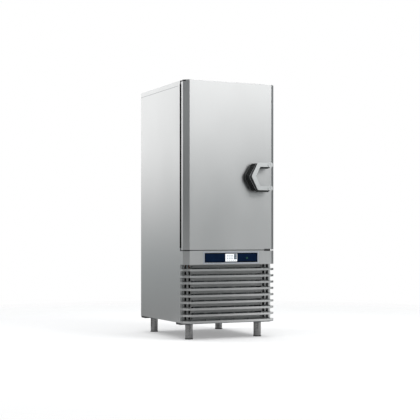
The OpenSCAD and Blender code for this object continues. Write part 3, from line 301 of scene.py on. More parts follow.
# Maker, colour and other looks of each finish
FINISHES = {
    "brushed_panel": (brushed_steel, SHEET_STEEL, {"roughness": 0.36}),
    "brushed_door": (brushed_steel, SHEET_STEEL, {"roughness": 0.37}),
    "dull_steel": (brushed_steel, (0.17, 0.175, 0.18), {"roughness": 0.45, "clouds": 0.06}),
    "bright_steel": (
        brushed_steel, (0.54, 0.545, 0.545), {"roughness": 0.3, "grain": GRAIN_ACROSS},
    ),
    # Darker copy of the panel steel: painted shade behind the grille's slats
    "core_steel": (brushed_steel, (0.30, 0.305, 0.305), {"roughness": 0.5, "clouds": 0.06}),
    "plate_steel": (brushed_steel, (0.70, 0.71, 0.71), {"roughness": 0.3, "grain": GRAIN_ACROSS}),
    # Black paint of the hinge brackets, which also paints the shade in the door's gap and at the
    # top of the bevel
    "hinge_steel": (painted_casting, (0.012, 0.012, 0.013), {"roughness": 0.4}),
    # Leg steel darkened well below the sheet steel: painted shade under the cabinet
    "foot_steel": (brushed_steel, (0.20, 0.20, 0.20), {"roughness": 0.22}),
    "chamber_steel": (brushed_steel, (0.62, 0.63, 0.63), {"roughness": 0.3, "clouds": 0.02}),
    "insulation_foam": (cut_foam, (0.80, 0.68, 0.42), {}),
    "gasket_rubber": (soft_rubber, (0.006, 0.006, 0.006), {}),
    "rubber_mount": (soft_rubber, (0.02, 0.02, 0.02), {}),
    "grip_plastic": (moulded_plastic, (0.010, 0.011, 0.011), {"roughness": 0.24, "texture": 0.05}),
    "black_plastic": (moulded_plastic, (0.014, 0.014, 0.015), {"roughness": 0.45}),
    "bush_plastic": (moulded_plastic, (0.02, 0.02, 0.02), {"roughness": 0.5}),
    "fan_plastic": (moulded_plastic, (0.018, 0.018, 0.02), {"roughness": 0.42, "texture": 0.08}),
    "box_grey": (moulded_plastic, (0.28, 0.29, 0.31), {"roughness": 0.5}),
    "drain_plastic": (moulded_plastic, (0.06, 0.06, 0.065), {"roughness": 0.45}),
    "bezel_metal": (brushed_steel, (0.70, 0.73, 0.80), {"roughness": 0.28, "grain": GRAIN_ACROSS}),
    "panel_glass": (panel_glass, (0.0015, 0.008, 0.027), {}),
    "screen": (lit_panel, (0.86, 0.88, 0.91), {"glow": 0.35}),
    "lamp_green": (lit_panel, (0.03, 0.12, 0.06), {"glow": 0.15, "dim": 0.8}),
    "coil_fins": (coil_fins, (0.55, 0.57, 0.59), {}),
    "motor_paint": (painted_casting, (0.05, 0.05, 0.055), {"roughness": 0.4}),
    "compressor_paint": (painted_casting, (0.012, 0.012, 0.013), {"roughness": 0.3}),
    "copper": (old_copper, (0.50, 0.25, 0.15), {}),
    "tile_grey": (lit_panel, (0.50, 0.54, 0.56), {"glow": 0.15}),
    "tile_dark": (lit_panel, (0.12, 0.15, 0.18), {"glow": 0.06}),
    "tile_white": (lit_panel, (0.92, 0.94, 0.97), {"glow": 0.4}),
    # Grey that paints the highlight on the edge of the grip's step
    "edge_grey": (moulded_plastic, (0.30, 0.30, 0.31), {"roughness": 0.3, "texture": 0.05}),
}
finishes = {name: make(name, colour, **looks) for name, (make, colour, looks) in FINISHES.items()}

# Nodes whose finish differs a little from the rest of their slot. The grille's core gets a darker
# copy of the steel, as painted shade behind the slats; the hinge brackets' black also paints the
# shade in the door's gap.
OWN_FINISH = {
    "grille_core": "core_steel", "handle_plate": "plate_steel", "handle_caps": "plate_steel",
    "hinge_bracket_top": "hinge_steel", "hinge_bracket_bottom": "hinge_steel",
}
slot_of = {part["node"]: part["material_slot"] for part in frame["record"]["subparts"]}
for node, thing in frame["nodes"].items():
    thing.data.materials.clear()
    thing.data.materials.append(finishes[OWN_FINISH.get(node, slot_of[node])])


# ---- Softened edges of the frame's own parts ----

# Width of the softened edges in millimetres
EDGE_WIDTH = {
    "door_skin": 0.5, "control_fascia": 0.5, "top_cover": 0.6, "side_panel_left": 0.5,
    "side_panel_right": 0.5, "back_panel": 0.4, "front_frame": 0.4, "grille_core": 0.4,
    "grille_slats": 0.4, "handle_plate": 1.2, "handle_grip": 1.0, "handle_caps": 0.7,
    "handle_posts": 0.6, "control_bezel": 0.4, "touch_glass": 0.3, "legs": 0.8,
    "closing_ramp": 0.6, "hinge_bracket_top": 0.6, "hinge_bracket_bottom": 0.6,
    "door_end_caps": 0.3, "door_pan": 0.4, "mains_gland": 0.7, "drain_pipe": 0.4,
    "electrical_box": 1.5,
}
SHARP_ANGLE = math.radians(35)


def soften(thing, width, segments=2):
    bevel = thing.modifiers.new("soft_edges", "BEVEL")
    bevel.width = width
    bevel.segments = segments
    bevel.limit_method = "ANGLE"
    bevel.angle_limit = SHARP_ANGLE
    bevel.harden_normals = False


for node, width in EDGE_WIDTH.items():
    soften(frame["nodes"][node], width * MM)


# ---- Meshes made here ----


def add_piece(name, mesh_maker, finish, body, smooth=False):
    """Makes a mesh object with bmesh, gives it a finish and lets it ride on a body."""
    data = bpy.data.meshes.new(name)
    made = bmesh.new()
    mesh_maker(made)
    bmesh.ops.recalc_face_normals(made, faces=made.faces)
    made.to_mesh(data)
    made.free()
    data.polygons.foreach_set("use_smooth", [smooth] * len(data.polygons))
    thing = bpy.data.objects.new(name, data)
    scene.collection.objects.link(thing)
    data.materials.append(finishes[finish])
    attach(thing, body)
    return thing


def solid_between(mesh, near_outline, far_outline):
    """A solid between two equal outlines of points."""
    near = [mesh.verts.new(point) for point in near_outline]
    far = [mesh.verts.new(point) for point in far_outline]
    mesh.faces.new(near)
    mesh.faces.new(list(reversed(far)))
    for i in range(len(near)):
        j = (i + 1) % len(near)
        mesh.faces.new((near[j], near[i], far[i], far[j]))


def prism(mesh, outline, low, high):
    """A solid whose outline (x, z) runs from y = low to y = high."""
    solid_between(mesh, [(x, low, z) for x, z in outline], [(x, high, z) for x, z in outline])


def slab(mesh, outline, low, high):
    """A solid whose outline (x, y) runs from z = low to z = high."""
    solid_between(mesh, [(x, y, low) for x, y in outline], [(x, y, high) for x, y in outline])


def block(mesh, low, high):
    """A box between two corners."""
    (x0, y0, z0), (x1, y1, z1) = low, high
    prism(mesh, [(x0, z0), (x1, z0), (x1, z1), (x0, z1)], y0, y1)


def round_rect(x0, z0, x1, z1, r, steps=4):
    """Outline of a rectangle with round corners."""
    corners = (
        (x1 - r, z1 - r, 0), (x0 + r, z1 - r, 90), (x0 + r, z0 + r, 180), (x1 - r, z0 + r, 270),
    )
    points = []
    for cx, cz, start in corners:
        for k in range(steps + 1):
            a = math.radians(start + 90 * k / steps)
            points.append((cx + r * math.cos(a), cz + r * math.sin(a)))
    return points


def bridge(mesh, one, two):
    """Faces between two closed rings with as many points."""
    for k in range(len(one)):
        j = (k + 1) % len(one)
        mesh.faces.new((one[k], one[j], two[j], two[k]))


def lathe(mesh, profile, place, axis, sides):
    """A turned solid: profile lists (radius, distance along the axis) from one end to the other."""
    rings = []
    for r, d in profile:
        ring = []
        for k in range(sides):
            a = 2 * math.pi * k / sides
            u, v = r * math.cos(a), r * math.sin(a)
            offset = (u, d, v) if axis == "Y" else (u, v, d)
            ring.append(mesh.verts.new(Vector(place) + Vector(offset)))
        rings.append(ring)
    for one, two in zip(rings, rings[1:]):
        bridge(mesh, one, two)
    mesh.faces.new(rings[0])
    mesh.faces.new(list(reversed(rings[-1])))


# ---- Display graphics and status light ----

# Two rows of three tiles, a darker column and a line of small keys under them. Their places and
# sizes are shares of the display's width and height.
screen_w = screen_hi.x - screen_lo.x
screen_h = screen_hi.z - screen_lo.z
graphic_y = screen_lo.y
GRAPHIC_T = 0.25 * MM
TILE_R = 1.6 * MM
TILE_COLUMNS = (0.12, 0.305, 0.49)
TILE_ROWS = (0.28, 0.62)
TILE_W, TILE_H = 0.15, 0.25
COLUMN_LEFT, COLUMN_RIGHT = 0.72, 0.97
COLUMN_LOW, COLUMN_PITCH, COLUMN_H = 0.27, 0.235, 0.225
COLUMN_TILES = 3
KEY_LEFT, KEY_PITCH, KEY_W = 0.10, 0.175, 0.12
KEY_LOW, KEY_HIGH = 0.07, 0.15
KEYS = 5


def on_screen(u, v):
    """A point of the display from its lower left corner, as shares of its width and height."""
    return screen_lo.x + u * screen_w, screen_lo.z + v * screen_h


def tile(mesh, u0, v0, u1, v1):
    """A thin tile between two points of the display."""
    x0, z0 = on_screen(u0, v0)
    x1, z1 = on_screen(u1, v1)
    prism(mesh, round_rect(x0, z0, x1, z1, TILE_R), graphic_y - GRAPHIC_T, graphic_y)


def display_tiles(mesh):
    for u in TILE_COLUMNS:
        for v in TILE_ROWS:
            tile(mesh, u, v, u + TILE_W, v + TILE_H)


def display_column(mesh):
    for k in range(COLUMN_TILES):
        v = COLUMN_LOW + k * COLUMN_PITCH
        tile(mesh, COLUMN_LEFT, v, COLUMN_RIGHT, v + COLUMN_H)


def display_keys(mesh):
    for k in range(KEYS):
        u = KEY_LEFT + k * KEY_PITCH
        tile(mesh, u, KEY_LOW, u + KEY_W, KEY_HIGH)


def add_graphic(name, maker, finish):
    piece = add_piece(name, maker, finish, "cabinet")


add_graphic("display_tiles", display_tiles, "tile_grey")
add_graphic("display_column", display_column, "tile_dark")
add_graphic("display_keys", display_keys, "tile_grey")

# Seven-segment figures on the tiles
SEGMENTS = {
    "0": "abcdef", "1": "bc", "2": "abged", "3": "abgcd", "5": "afgcd", "8": "abcdefg",
    "9": "abcfgd", "-": "g",
}
FIGURE_W = 3.2 * MM
FIGURE_H = 6.4 * MM
FIGURE_GAP = 1.3 * MM
STROKE = 0.8 * MM


def segment_box(letter):
    """Low and high corner of one segment of a figure whose lower left corner is the origin."""
    w, h, s, half = FIGURE_W, FIGURE_H, STROKE, FIGURE_H / 2
    return {
        "a": (0, h - s, w, h), "g": (0, half - s / 2, w, half + s / 2), "d": (0, 0, w, s),
        "f": (0, half, s, h), "b": (w - s, half, w, h),
        "e": (0, 0, s, half), "c": (w - s, 0, w, half),
    }[letter]


def figures(text, u, v):
    """A mesh maker for a short number centred on a point of the display."""
    cx, cz = on_screen(u, v)
    pitch = FIGURE_W + FIGURE_GAP
    left = cx - (len(text) * pitch - FIGURE_GAP) / 2
    z = cz - FIGURE_H / 2
    y0, y1 = graphic_y - 2 * GRAPHIC_T, graphic_y - GRAPHIC_T

    def maker(mesh):
        for k, character in enumerate(text):
            x = left + k * pitch
            for letter in SEGMENTS[character]:
                x0, z0, x1, z1 = segment_box(letter)
                block(mesh, (x + x0, y0, z + z0), (x + x1, y1, z + z1))

    return maker


TILE_FIGURES = (("3", 0, 1), ("90", 1, 1), ("2", 2, 1), ("-18", 0, 0), ("5", 1, 0), ("8", 2, 0))
for text, column, row in TILE_FIGURES:
    number = figures(text, TILE_COLUMNS[column] + TILE_W / 2, TILE_ROWS[row] + TILE_H / 2)
    add_graphic(f"display_figure_{column}_{row}", number, "tile_white")

# Ring round the status light, with a gap at its top whose half is RING_GAP degrees
RING_R = 7.5 * MM
RING_W = 1.3 * MM
RING_GAP = 30
RING_STEPS = 28


def status_ring(mesh):
    centre = (lamp_lo + lamp_hi) / 2
    sweep = 360 - 2 * RING_GAP
    angles = [math.radians(90 + RING_GAP + k * sweep / RING_STEPS) for k in range(RING_STEPS + 1)]

    def arc(r):
        return [(centre.x + r * math.cos(a), centre.z + r * math.sin(a)) for a in angles]

    prism(mesh, arc(RING_R) + arc(RING_R - RING_W)[::-1], glass_lo.y - GRAPHIC_T, glass_lo.y)


add_piece("status_ring", status_ring, "lamp_green", "cabinet")


# ---- Screws of the back panel ----

# Pan-head screws with a cross recess along the panel's edges. The dome is given as shares of the
# head's radius and height, and the recess by the corners of its cross.
SCREW_R = 4.5 * MM
SCREW_H = 2.2 * MM
SCREW_DOME = ((1, 0), (1, 0.3), (0.92, 0.62), (0.7, 0.88), (0.36, 1))
SCREW_SIDES = 20
SCREW_INSET = 12 * MM
SCREW_SIDE_MARGIN = 30 * MM
SCREW_ROWS = 7
SCREW_COLUMNS = 4
CROSS_ARM = 2.1 * MM
CROSS_HALF_W = 0.35 * MM
CROSS_DEPTH = 0.3 * MM
CROSS_LIFT = 0.05 * MM
LOUVRE_OUT = 7 * MM
sheet_y = back_hi.y - LOUVRE_OUT


def screw_head(mesh, x, y, z):
    dome = [(SCREW_R * r, SCREW_H * h) for r, h in SCREW_DOME]
    lathe(mesh, dome, (x, y, z), "Y", SCREW_SIDES)


def cross_recess(mesh, x, y, z):
    a, h = CROSS_ARM, CROSS_HALF_W
    cross = (
        (-h, -a), (h, -a), (h, -h), (a, -h), (a, h), (h, h),
        (h, a), (-h, a), (-h, h), (-a, h), (-a, -h), (-h, -h),
    )
    face = y + SCREW_H
    prism(mesh, [(x + dx, z + dz) for dx, dz in cross], face - CROSS_DEPTH, face + CROSS_LIFT)


def back_screw_places():
    height = back_hi.z - back_lo.z - 2 * SCREW_INSET
    width = back_hi.x - back_lo.x - 2 * SCREW_INSET - 2 * SCREW_SIDE_MARGIN
    for k in range(SCREW_ROWS):
        z = back_lo.z + SCREW_INSET + height * k / (SCREW_ROWS - 1)
        for side in (-1, 1):
            yield side * (back_hi.x - SCREW_INSET - SCREW_SIDE_MARGIN), z
    for k in range(1, SCREW_COLUMNS):
        x = -width / 2 + width * k / SCREW_COLUMNS
        for z in (back_lo.z + SCREW_INSET, back_hi.z - SCREW_INSET):
            yield x, z


def on_back_screws(one_screw):
    """A mesh maker that repeats one screw's mesh at every screw of the back panel."""
    def maker(mesh):
        for x, z in back_screw_places():
            one_screw(mesh, x, sheet_y, z)
    return maker


add_piece("back_screws", on_back_screws(screw_head), "bright_steel", "cabinet", smooth=True)
add_piece("back_screw_recesses", on_back_screws(cross_recess), "black_plastic", "cabinet")


# ---- Door gasket ----

# A base strip, two bellows and a soft head, swept round the door's inner pan. The profile's left
# half lists (share of the half width, share of the depth from the pan to the frame).
GASKET_LEFT = (
    (-0.86, 0.0), (-0.86, 0.16), (-0.42, 0.22), (-0.34, 0.30), (-0.56, 0.38), (-0.56, 0.44),
    (-0.34, 0.50), (-0.56, 0.57), (-0.80, 0.62), (-1.0, 0.72), (-1.0, 0.92), (-0.93, 1.0),
)
GASKET_PROFILE = GASKET_LEFT + tuple((-across, depth) for across, depth in reversed(GASKET_LEFT))
GASKET_HALF_W = 14 * MM


def swept_gasket(mesh):
    x0, x1 = gasket_lo.x + GASKET_HALF_W, gasket_hi.x - GASKET_HALF_W
    z0, z1 = gasket_lo.z + GASKET_HALF_W, gasket_hi.z - GASKET_HALF_W
    corners = ((x0, z0, -1, -1), (x1, z0, 1, -1), (x1, z1, 1, 1), (x0, z1, -1, 1))
    depth = gasket_hi.y - gasket_lo.y
    rings = []
    for cx, cz, sx, sz in corners:
        ring = []
        for across, share in GASKET_PROFILE:
            offset = across * GASKET_HALF_W
            place = (cx + sx * offset, gasket_lo.y + share * depth, cz + sz * offset)
            ring.append(mesh.verts.new(place))
        rings.append(ring)
    for one, two in zip(rings, rings[1:] + rings[:1]):
        bridge(mesh, one, two)


gasket = add_piece("gasket_bellows", swept_gasket, "gasket_rubber", "door")
soften(gasket, 0.8 * MM, segments=3)
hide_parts("door_gasket")


# ---- Black strips round the door: painted shade in its gaps, one of them also a black seal trim ----

frame_lo, frame_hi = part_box("front_frame")
fascia_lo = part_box("control_fascia")[0]
door_lo, door_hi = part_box("door_skin")
ramp_lo, ramp_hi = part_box("closing_ramp")
panel_lo, panel_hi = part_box("side_panel_left")
top_hinge_lo, top_hinge_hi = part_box("hinge_bracket_top")
low_hinge_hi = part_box("hinge_bracket_bottom")[1]
FRONT_BEVEL = 40 * MM
STRIP_GAP = 0.1 * MM
HINGE_GAP = 1 * MM
strip_z0 = low_hinge_hi.z + HINGE_GAP
strip_z1 = top_hinge_lo.z - HINGE_GAP

# On the cabinet's face round the door: a black seal trim, whose black also paints the shade in the
# door's gap
SEAL_T = 2.4 * MM
SEAL_W = 17 * MM
SEAL_INSET = 0.4 * MM


def frame_seal_and_shade(mesh):
    y0, y1 = frame_lo.y - SEAL_T, frame_lo.y - STRIP_GAP
    side = frame_hi.x - SEAL_INSET
    top = frame_hi.z - SEAL_INSET
    block(mesh, (-side, y0, strip_z0), (-side + SEAL_W, y1, strip_z1))
    block(mesh, (side - SEAL_W, y0, door_lo.z), (side, y1, top))
    block(mesh, (top_hinge_hi.x + 2 * HINGE_GAP, y0, top - SEAL_W / 2), (side - SEAL_W, y1, top))


# Painted shade on the left side, along both edges of the door's gap
EDGE_SHADE_T = 0.5 * MM
EDGE_SHADE_W = 5 * MM
EDGE_SHADE_OVER = 1 * MM


def side_shade_strip(low, high):
    """A mesh maker for an upright strip of painted shade on the left side from y = low to y = high.
    """
    def maker(mesh):
        block(mesh, (frame_lo.x - EDGE_SHADE_T, low, strip_z0), (frame_lo.x, high, strip_z1))
    return maker


frame_edge_shade = side_shade_strip(frame_lo.y - EDGE_SHADE_OVER, frame_lo.y + EDGE_SHADE_W)
door_edge_shade = side_shade_strip(door_hi.y - EDGE_SHADE_W, door_hi.y + EDGE_SHADE_OVER)

# Painted shade in the slit under the door, along the front and round the left bevel
SLIT_SHADE_T = 2.2 * MM
SLIT_SHADE_H = 3.4 * MM
SLIT_SHADE_BACK = 2.6 * MM
SLIT_SHADE_SIDE = 5 * MM
SLIT_SHADE_DROP = 1.6 * MM
SLIT_SHADE_MITRE = 1 * MM
RAMP_GAP = 3 * MM


def slit_shade_strip(mesh):
    side, end = fascia_lo.x + SLIT_SHADE_SIDE, ramp_lo.x - RAMP_GAP
    nose = fascia_lo.x + FRONT_BEVEL + SLIT_SHADE_MITRE
    turn = fascia_lo.y + FRONT_BEVEL + SLIT_SHADE_MITRE
    y0 = fascia_lo.y + SLIT_SHADE_BACK
    y1 = y0 + SLIT_SHADE_T
    front = [(side, turn), (nose, y0), (end, y0)]
    behind = [
        (end, y1), (nose + SLIT_SHADE_MITRE, y1),
        (side + 2 * SLIT_SHADE_MITRE, turn + SLIT_SHADE_T),
    ]
    z1 = door_lo.z - SLIT_SHADE_DROP
    slab(mesh, front + behind, z1 - SLIT_SHADE_H, z1)


# The closing ramp's wear plate on the control band, and a strip over it on the door's lower edge
RAMP_PLATE_OUT = 1.2 * MM
RAMP_PLATE_UNDER = 3 * MM
RAMP_PLATE_DROP = 0.4 * MM
RAMP_EDGE_OUT = 0.6 * MM
RAMP_EDGE_IN = 1 * MM
RAMP_EDGE_Z = (0.4 * MM, 6 * MM)


def ramp_plate(mesh):
    low = (ramp_lo.x, fascia_lo.y - RAMP_PLATE_OUT, ramp_lo.z - RAMP_PLATE_UNDER)
    high = (ramp_hi.x, fascia_lo.y - STRIP_GAP, ramp_hi.z - RAMP_PLATE_DROP)
    block(mesh, low, high)


def ramp_edge(mesh):
    low = (ramp_lo.x, door_lo.y - RAMP_EDGE_OUT, door_lo.z + RAMP_EDGE_Z[0])
    high = (ramp_hi.x, door_lo.y + RAMP_EDGE_IN, door_lo.z + RAMP_EDGE_Z[1])
    block(mesh, low, high)


# ---- Under the cabinet: painted shade under the lowest slat as a dark strip, and a black plate over each leg ----

slats_lo, slats_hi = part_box("grille_slats")
UNDER_SHADE_H = 5 * MM
UNDER_SHADE_INSET = 1.5 * MM
UNDER_SHADE_INNER_INSET = 26 * MM
CORNER_SHARE = 0.4
LEG_PLATE_L = 84 * MM
LEG_PLATE_W = 90 * MM
LEG_PLATE_T = 15 * MM
LEG_PLATE_X = 392 * MM
LEG_PLATE_INSET = 1 * MM
LEG_PLATE_GAP = 0.2 * MM


def front_outline(inset):
    """Corners (x, y) of the bevelled front, from side to side, moved inwards by inset."""
    side, front = slats_hi.x - inset, slats_lo.y + inset
    nose = slats_hi.x - FRONT_BEVEL - CORNER_SHARE * inset
    turn = slats_lo.y + FRONT_BEVEL + CORNER_SHARE * inset
    left = [(-side, slats_hi.y), (-side, turn), (-nose, front)]
    return left + [(-x, y) for x, y in reversed(left)]


# Dark strip of painted shade under the lowest slat, along the bevelled front
def under_slat_shade(mesh):
    outline = front_outline(UNDER_SHADE_INSET) + front_outline(UNDER_SHADE_INNER_INSET)[::-1]
    slab(mesh, outline, slats_lo.z - UNDER_SHADE_H, slats_lo.z - STRIP_GAP)


def leg_plates(mesh):
    z0, z1 = panel_lo.z - LEG_PLATE_T, panel_lo.z - LEG_PLATE_GAP
    front_y = frame_lo.y + LEG_PLATE_INSET
    rear_y = panel_hi.y - LEG_PLATE_INSET - LEG_PLATE_L
    for side in (-1, 1):
        x0, x1 = sorted((side * LEG_PLATE_X, side * (LEG_PLATE_X - LEG_PLATE_W)))
        for y0 in (front_y, rear_y):
            block(mesh, (x0, y0, z0), (x1, y0 + LEG_PLATE_L, z1))


# ---- Handle ----

handle_lo, handle_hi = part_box("handle_plate")
grip_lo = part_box("handle_grip")[0]

# Black lips under the arms, which hang lower than the steel plate
ARM_H = 33 * MM
ARM_DROP = 6 * MM
LIP_DROP = 7 * MM
LIP_DEPTH = 26 * MM
LIP_BEHIND = 0.8 * MM
LIP_OVERLAP = 1 * MM
LIP_START_HIGH = 64 * MM
LIP_START_LOW = 54 * MM
LIP_END = 30 * MM


def grip_lips(mesh):
    high_arm = (handle_hi.z - ARM_H - ARM_DROP, handle_lo.x + LIP_START_HIGH)
    low_arm = (grip_lo.z, handle_lo.x + LIP_START_LOW)
    for z, x0 in (high_arm, low_arm):
        low = (x0, grip_lo.y + LIP_BEHIND, z - LIP_DROP)
        high = (handle_hi.x - LIP_END, grip_lo.y + LIP_DEPTH, z + LIP_OVERLAP)
        block(mesh, low, high)


# Painted highlight on the edge of the grip's second step: a light grey strip from its lower to its
# upper corner
STEP_BEHIND = 9.4 * MM
STEP_HALF_H = 102 * MM
STEP_CORNER = 53 * MM
STEP_NOSE = 5 * MM
STEP_GROWTHS = (9.5 * MM, 12.5 * MM)
HIGHLIGHT_OUT = 0.4 * MM
HIGHLIGHT_IN = 0.1 * MM
step_y = handle_hi.y + STEP_BEHIND
grip_z = (grip_lo.z + handle_hi.z - ARM_DROP) / 2


def half_hexagon(grow):
    """Corners (x, z) of the step's left side for one growth of its outline."""
    corner, point = handle_lo.x + STEP_CORNER - grow, handle_lo.x - grow
    nose = STEP_NOSE + CORNER_SHARE * grow
    return [
        (corner, grip_z - STEP_HALF_H), (point, grip_z - nose),
        (point, grip_z + nose), (corner, grip_z + STEP_HALF_H),
    ]


def grip_highlight(mesh):
    inner, outer = [half_hexagon(grow) for grow in STEP_GROWTHS]
    for k in range(len(inner) - 1):
        outline = [outer[k], inner[k], inner[k + 1], outer[k + 1]]
        prism(mesh, outline, step_y - HIGHLIGHT_OUT, step_y + HIGHLIGHT_IN)


grip_highlight_piece = add_piece("grip_highlight", grip_highlight, "edge_grey", "door")


# ---- Painted shade of the seam between the roof cover's skirt and each side panel: a dark strip ----

cover_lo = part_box("top_cover")[0]
SEAM_SHADE_H = 2.6 * MM
SEAM_SHADE_OUT = 0.3 * MM
SEAM_SHADE_IN = 0.1 * MM


def roof_seam(mesh):
    z0, z1 = cover_lo.z - SEAM_SHADE_H / 2, cover_lo.z + SEAM_SHADE_H / 2
    for x in (panel_lo.x - SEAM_SHADE_OUT, -panel_lo.x - SEAM_SHADE_IN):
        block(mesh, (x, panel_lo.y, z0), (x + SEAM_SHADE_OUT + SEAM_SHADE_IN, panel_hi.y, z1))


# The roof seam, the black strips round the door and the lower lip below are painted shade; the
# strip on the cabinet's face is also a black seal trim.
for name, maker, finish, body in (
    ("roof_seam", roof_seam, "dull_steel", "cabinet"),
    ("frame_seal_and_shade", frame_seal_and_shade, "gasket_rubber", "cabinet"),
    ("edge_shade_frame", frame_edge_shade, "gasket_rubber", "cabinet"),
    ("edge_shade_door", door_edge_shade, "gasket_rubber", "door"),
    ("grip_lips", grip_lips, "grip_plastic", "door"),
    ("slit_shade_strip", slit_shade_strip, "gasket_rubber", "cabinet"),
    ("ramp_plate", ramp_plate, "black_plastic", "cabinet"),
    ("ramp_edge", ramp_edge, "black_plastic", "door"),
    ("under_slat_shade", under_slat_shade, "dull_steel", "cabinet"),
    ("leg_plates", leg_plates, "black_plastic", "cabinet"),
):
    add_piece(name, maker, finish, body)


# ---- Rubber soles of the feet, and dark rings at both ends of each leg ----

# The sole's profile lists (distance from the cup's radius, height) in millimetres
SOLE_PROFILE = ((-6, 0.2), (2.2, 0.2), (2.8, 2), (1.4, 5.5), (0.3, 8), (-1, 8.4))
FOOT_SIDES = 48
LEG_R = 30 * MM
LEG_RING_OVER = 0.5 * MM
LEG_RING_UNDER = 1 * MM
LEG_RING_CHAMFER = 0.3 * MM
legs_lo, legs_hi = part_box("legs")
leg_rings_z = ((legs_lo.z + 12 * MM, 2.5 * MM), (legs_hi.z - 24 * MM, 7 * MM))


def sole(cup_r, place):
    def maker(mesh):
        profile = [(cup_r + r * MM, z * MM) for r, z in SOLE_PROFILE]
        lathe(mesh, profile, place, "Z", FOOT_SIDES)
    return maker


def leg_rings(place):
    outer, inner = LEG_R + LEG_RING_OVER, LEG_R - LEG_RING_UNDER

    def maker(mesh):
        for low, tall in leg_rings_z:
            high = low + tall
            profile = [
                (inner, low), (outer, low + LEG_RING_CHAMFER),
                (outer, high - LEG_RING_CHAMFER), (inner, high),
            ]
            lathe(mesh, profile, place, "Z", FOOT_SIDES)

    return maker


for end in ("front_left", "front_right", "rear_left", "rear_right"):
    foot_lo, foot_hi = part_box("foot_" + end)
    cup_r = (foot_hi.x - foot_lo.x) / 2
    middle = ((foot_lo.x + foot_hi.x) / 2, (foot_lo.y + foot_hi.y) / 2, 0.0)
    add_piece("sole_" + end, sole(cup_r, middle), "rubber_mount", "foot_" + end, smooth=True)
    add_piece("leg_rings_" + end, leg_rings(middle), "dull_steel", "cabinet")


# ---- Camera ----

CAMERA_X = -3.628
CAMERA_DISTANCE = 7.451  # from the front frame's face
CAMERA_HEIGHT = 0.810
CAMERA_TURN = math.radians(25.09)
CAMERA_LENS = 90.13
CAMERA_SENSOR = 36.0
CAMERA_SHIFT = 0.0602


def build_camera():
    data = bpy.data.cameras.new("camera")
    data.lens = CAMERA_LENS
    data.sensor_width = CAMERA_SENSOR
    data.shift_y = CAMERA_SHIFT
    camera = bpy.data.objects.new("camera", data)
    camera.location = (CAMERA_X, frame_lo.y - CAMERA_DISTANCE, CAMERA_HEIGHT)
    camera.rotation_euler = (math.radians(90), 0.0, -CAMERA_TURN)
    scene.collection.objects.link(camera)
    scene.camera = camera


# ---- World and floor ----

WHITE = (1.0, 1.0, 1.0, 1.0)
AMBIENT = 0.65
AMBIENT_TINT = (0.97, 0.985, 1.0, 1.0)
FLOOR_HALF = 6.0
FLOOR_FADE = (2.2, 5.0)
FLOOR_CHALK = (0.74, 0.74, 0.74, 1.0)
FLOOR_LIFT = 0.26


def seen_by_eye(tree):
    """1 for camera, glossy and transmission rays, 0 for the rays that only carry light."""
    path = tree.nodes.new("ShaderNodeLightPath")
    total = path.outputs["Is Camera Ray"]
    for output in ("Is Glossy Ray", "Is Transmission Ray"):
        either = add_node(tree, "ShaderNodeMath", operation="MAXIMUM")
        tree.links.new(total, either.inputs[0])
        tree.links.new(path.outputs[output], either.inputs[1])
        total = either.outputs["Value"]
    return total


def background(tree, colour, strength):
    made = tree.nodes.new("ShaderNodeBackground")
    made.inputs["Color"].default_value = colour
    made.inputs["Strength"].default_value = strength
    return made.outputs[0]


def mixed_shader(tree, factor, first, second):
    made = tree.nodes.new("ShaderNodeMixShader")
    for socket, value in zip(made.inputs, (factor, first, second)):
        tree.links.new(value, socket)
    return made.outputs[0]


def build_world():
    """Soft light from all sides, and a white that only the eye, metal and glass see."""
    world = bpy.data.worlds.new("studio")
    world.use_nodes = True
    scene.world = world
    tree = world.node_tree
    tree.nodes.clear()
    soft = background(tree, AMBIENT_TINT, AMBIENT)
    white = background(tree, WHITE, 1.0)
    choice = mixed_shader(tree, seen_by_eye(tree), soft, white)
    output = tree.nodes.new("ShaderNodeOutputWorld")
    tree.links.new(choice, output.inputs["Surface"])


def empty_material(name):
    """A material with nothing but its output: the material, its tree and the surface socket."""
    material = bpy.data.materials.new(name)
    material.use_nodes = True
    tree = material.node_tree
    tree.nodes.clear()
    output = tree.nodes.new("ShaderNodeOutputMaterial")
    return material, tree, output.inputs["Surface"]


def floor_material():
    """White floor that keeps the soft shadow and melts into the white background further out."""
    material, tree, surface = empty_material("studio_floor")
    place = tree.nodes.new("ShaderNodeTexCoord")
    distance = add_node(tree, "ShaderNodeVectorMath", operation="LENGTH")
    tree.links.new(place.outputs["Object"], distance.inputs[0])
    fade = add_node(tree, "ShaderNodeMapRange", interpolation_type="SMOOTHSTEP")
    fade.inputs["From Min"].default_value = FLOOR_FADE[0]
    fade.inputs["From Max"].default_value = FLOOR_FADE[1]
    tree.links.new(distance.outputs["Value"], fade.inputs["Value"])
    chalk = tree.nodes.new("ShaderNodeBsdfDiffuse")
    chalk.inputs["Color"].default_value = FLOOR_CHALK
    level = add_node(tree, "ShaderNodeMath", operation="MULTIPLY")
    level.inputs[1].default_value = FLOOR_LIFT
    tree.links.new(seen_by_eye(tree), level.inputs[0])
    lift = tree.nodes.new("ShaderNodeEmission")
    tree.links.new(level.outputs["Value"], lift.inputs["Strength"])
    lit = tree.nodes.new("ShaderNodeAddShader")
    tree.links.new(chalk.outputs[0], lit.inputs[0])
    tree.links.new(lift.outputs[0], lit.inputs[1])
    clear = tree.nodes.new("ShaderNodeBsdfTransparent")
    choice = mixed_shader(tree, fade.outputs["Result"], lit.outputs[0], clear.outputs[0])
    tree.links.new(choice, surface)
    return material


def build_floor():
    data = bpy.data.meshes.new("floor")
    half = FLOOR_HALF
    corners = [(-half, -half, 0), (half, -half, 0), (half, half, 0), (-half, half, 0)]
    data.from_pydata(corners, [], [(0, 1, 2, 3)])
    data.materials.append(floor_material())
    floor = bpy.data.objects.new("floor", data)
    scene.collection.objects.link(floor)


# ---- Studio that only shows in reflections ----

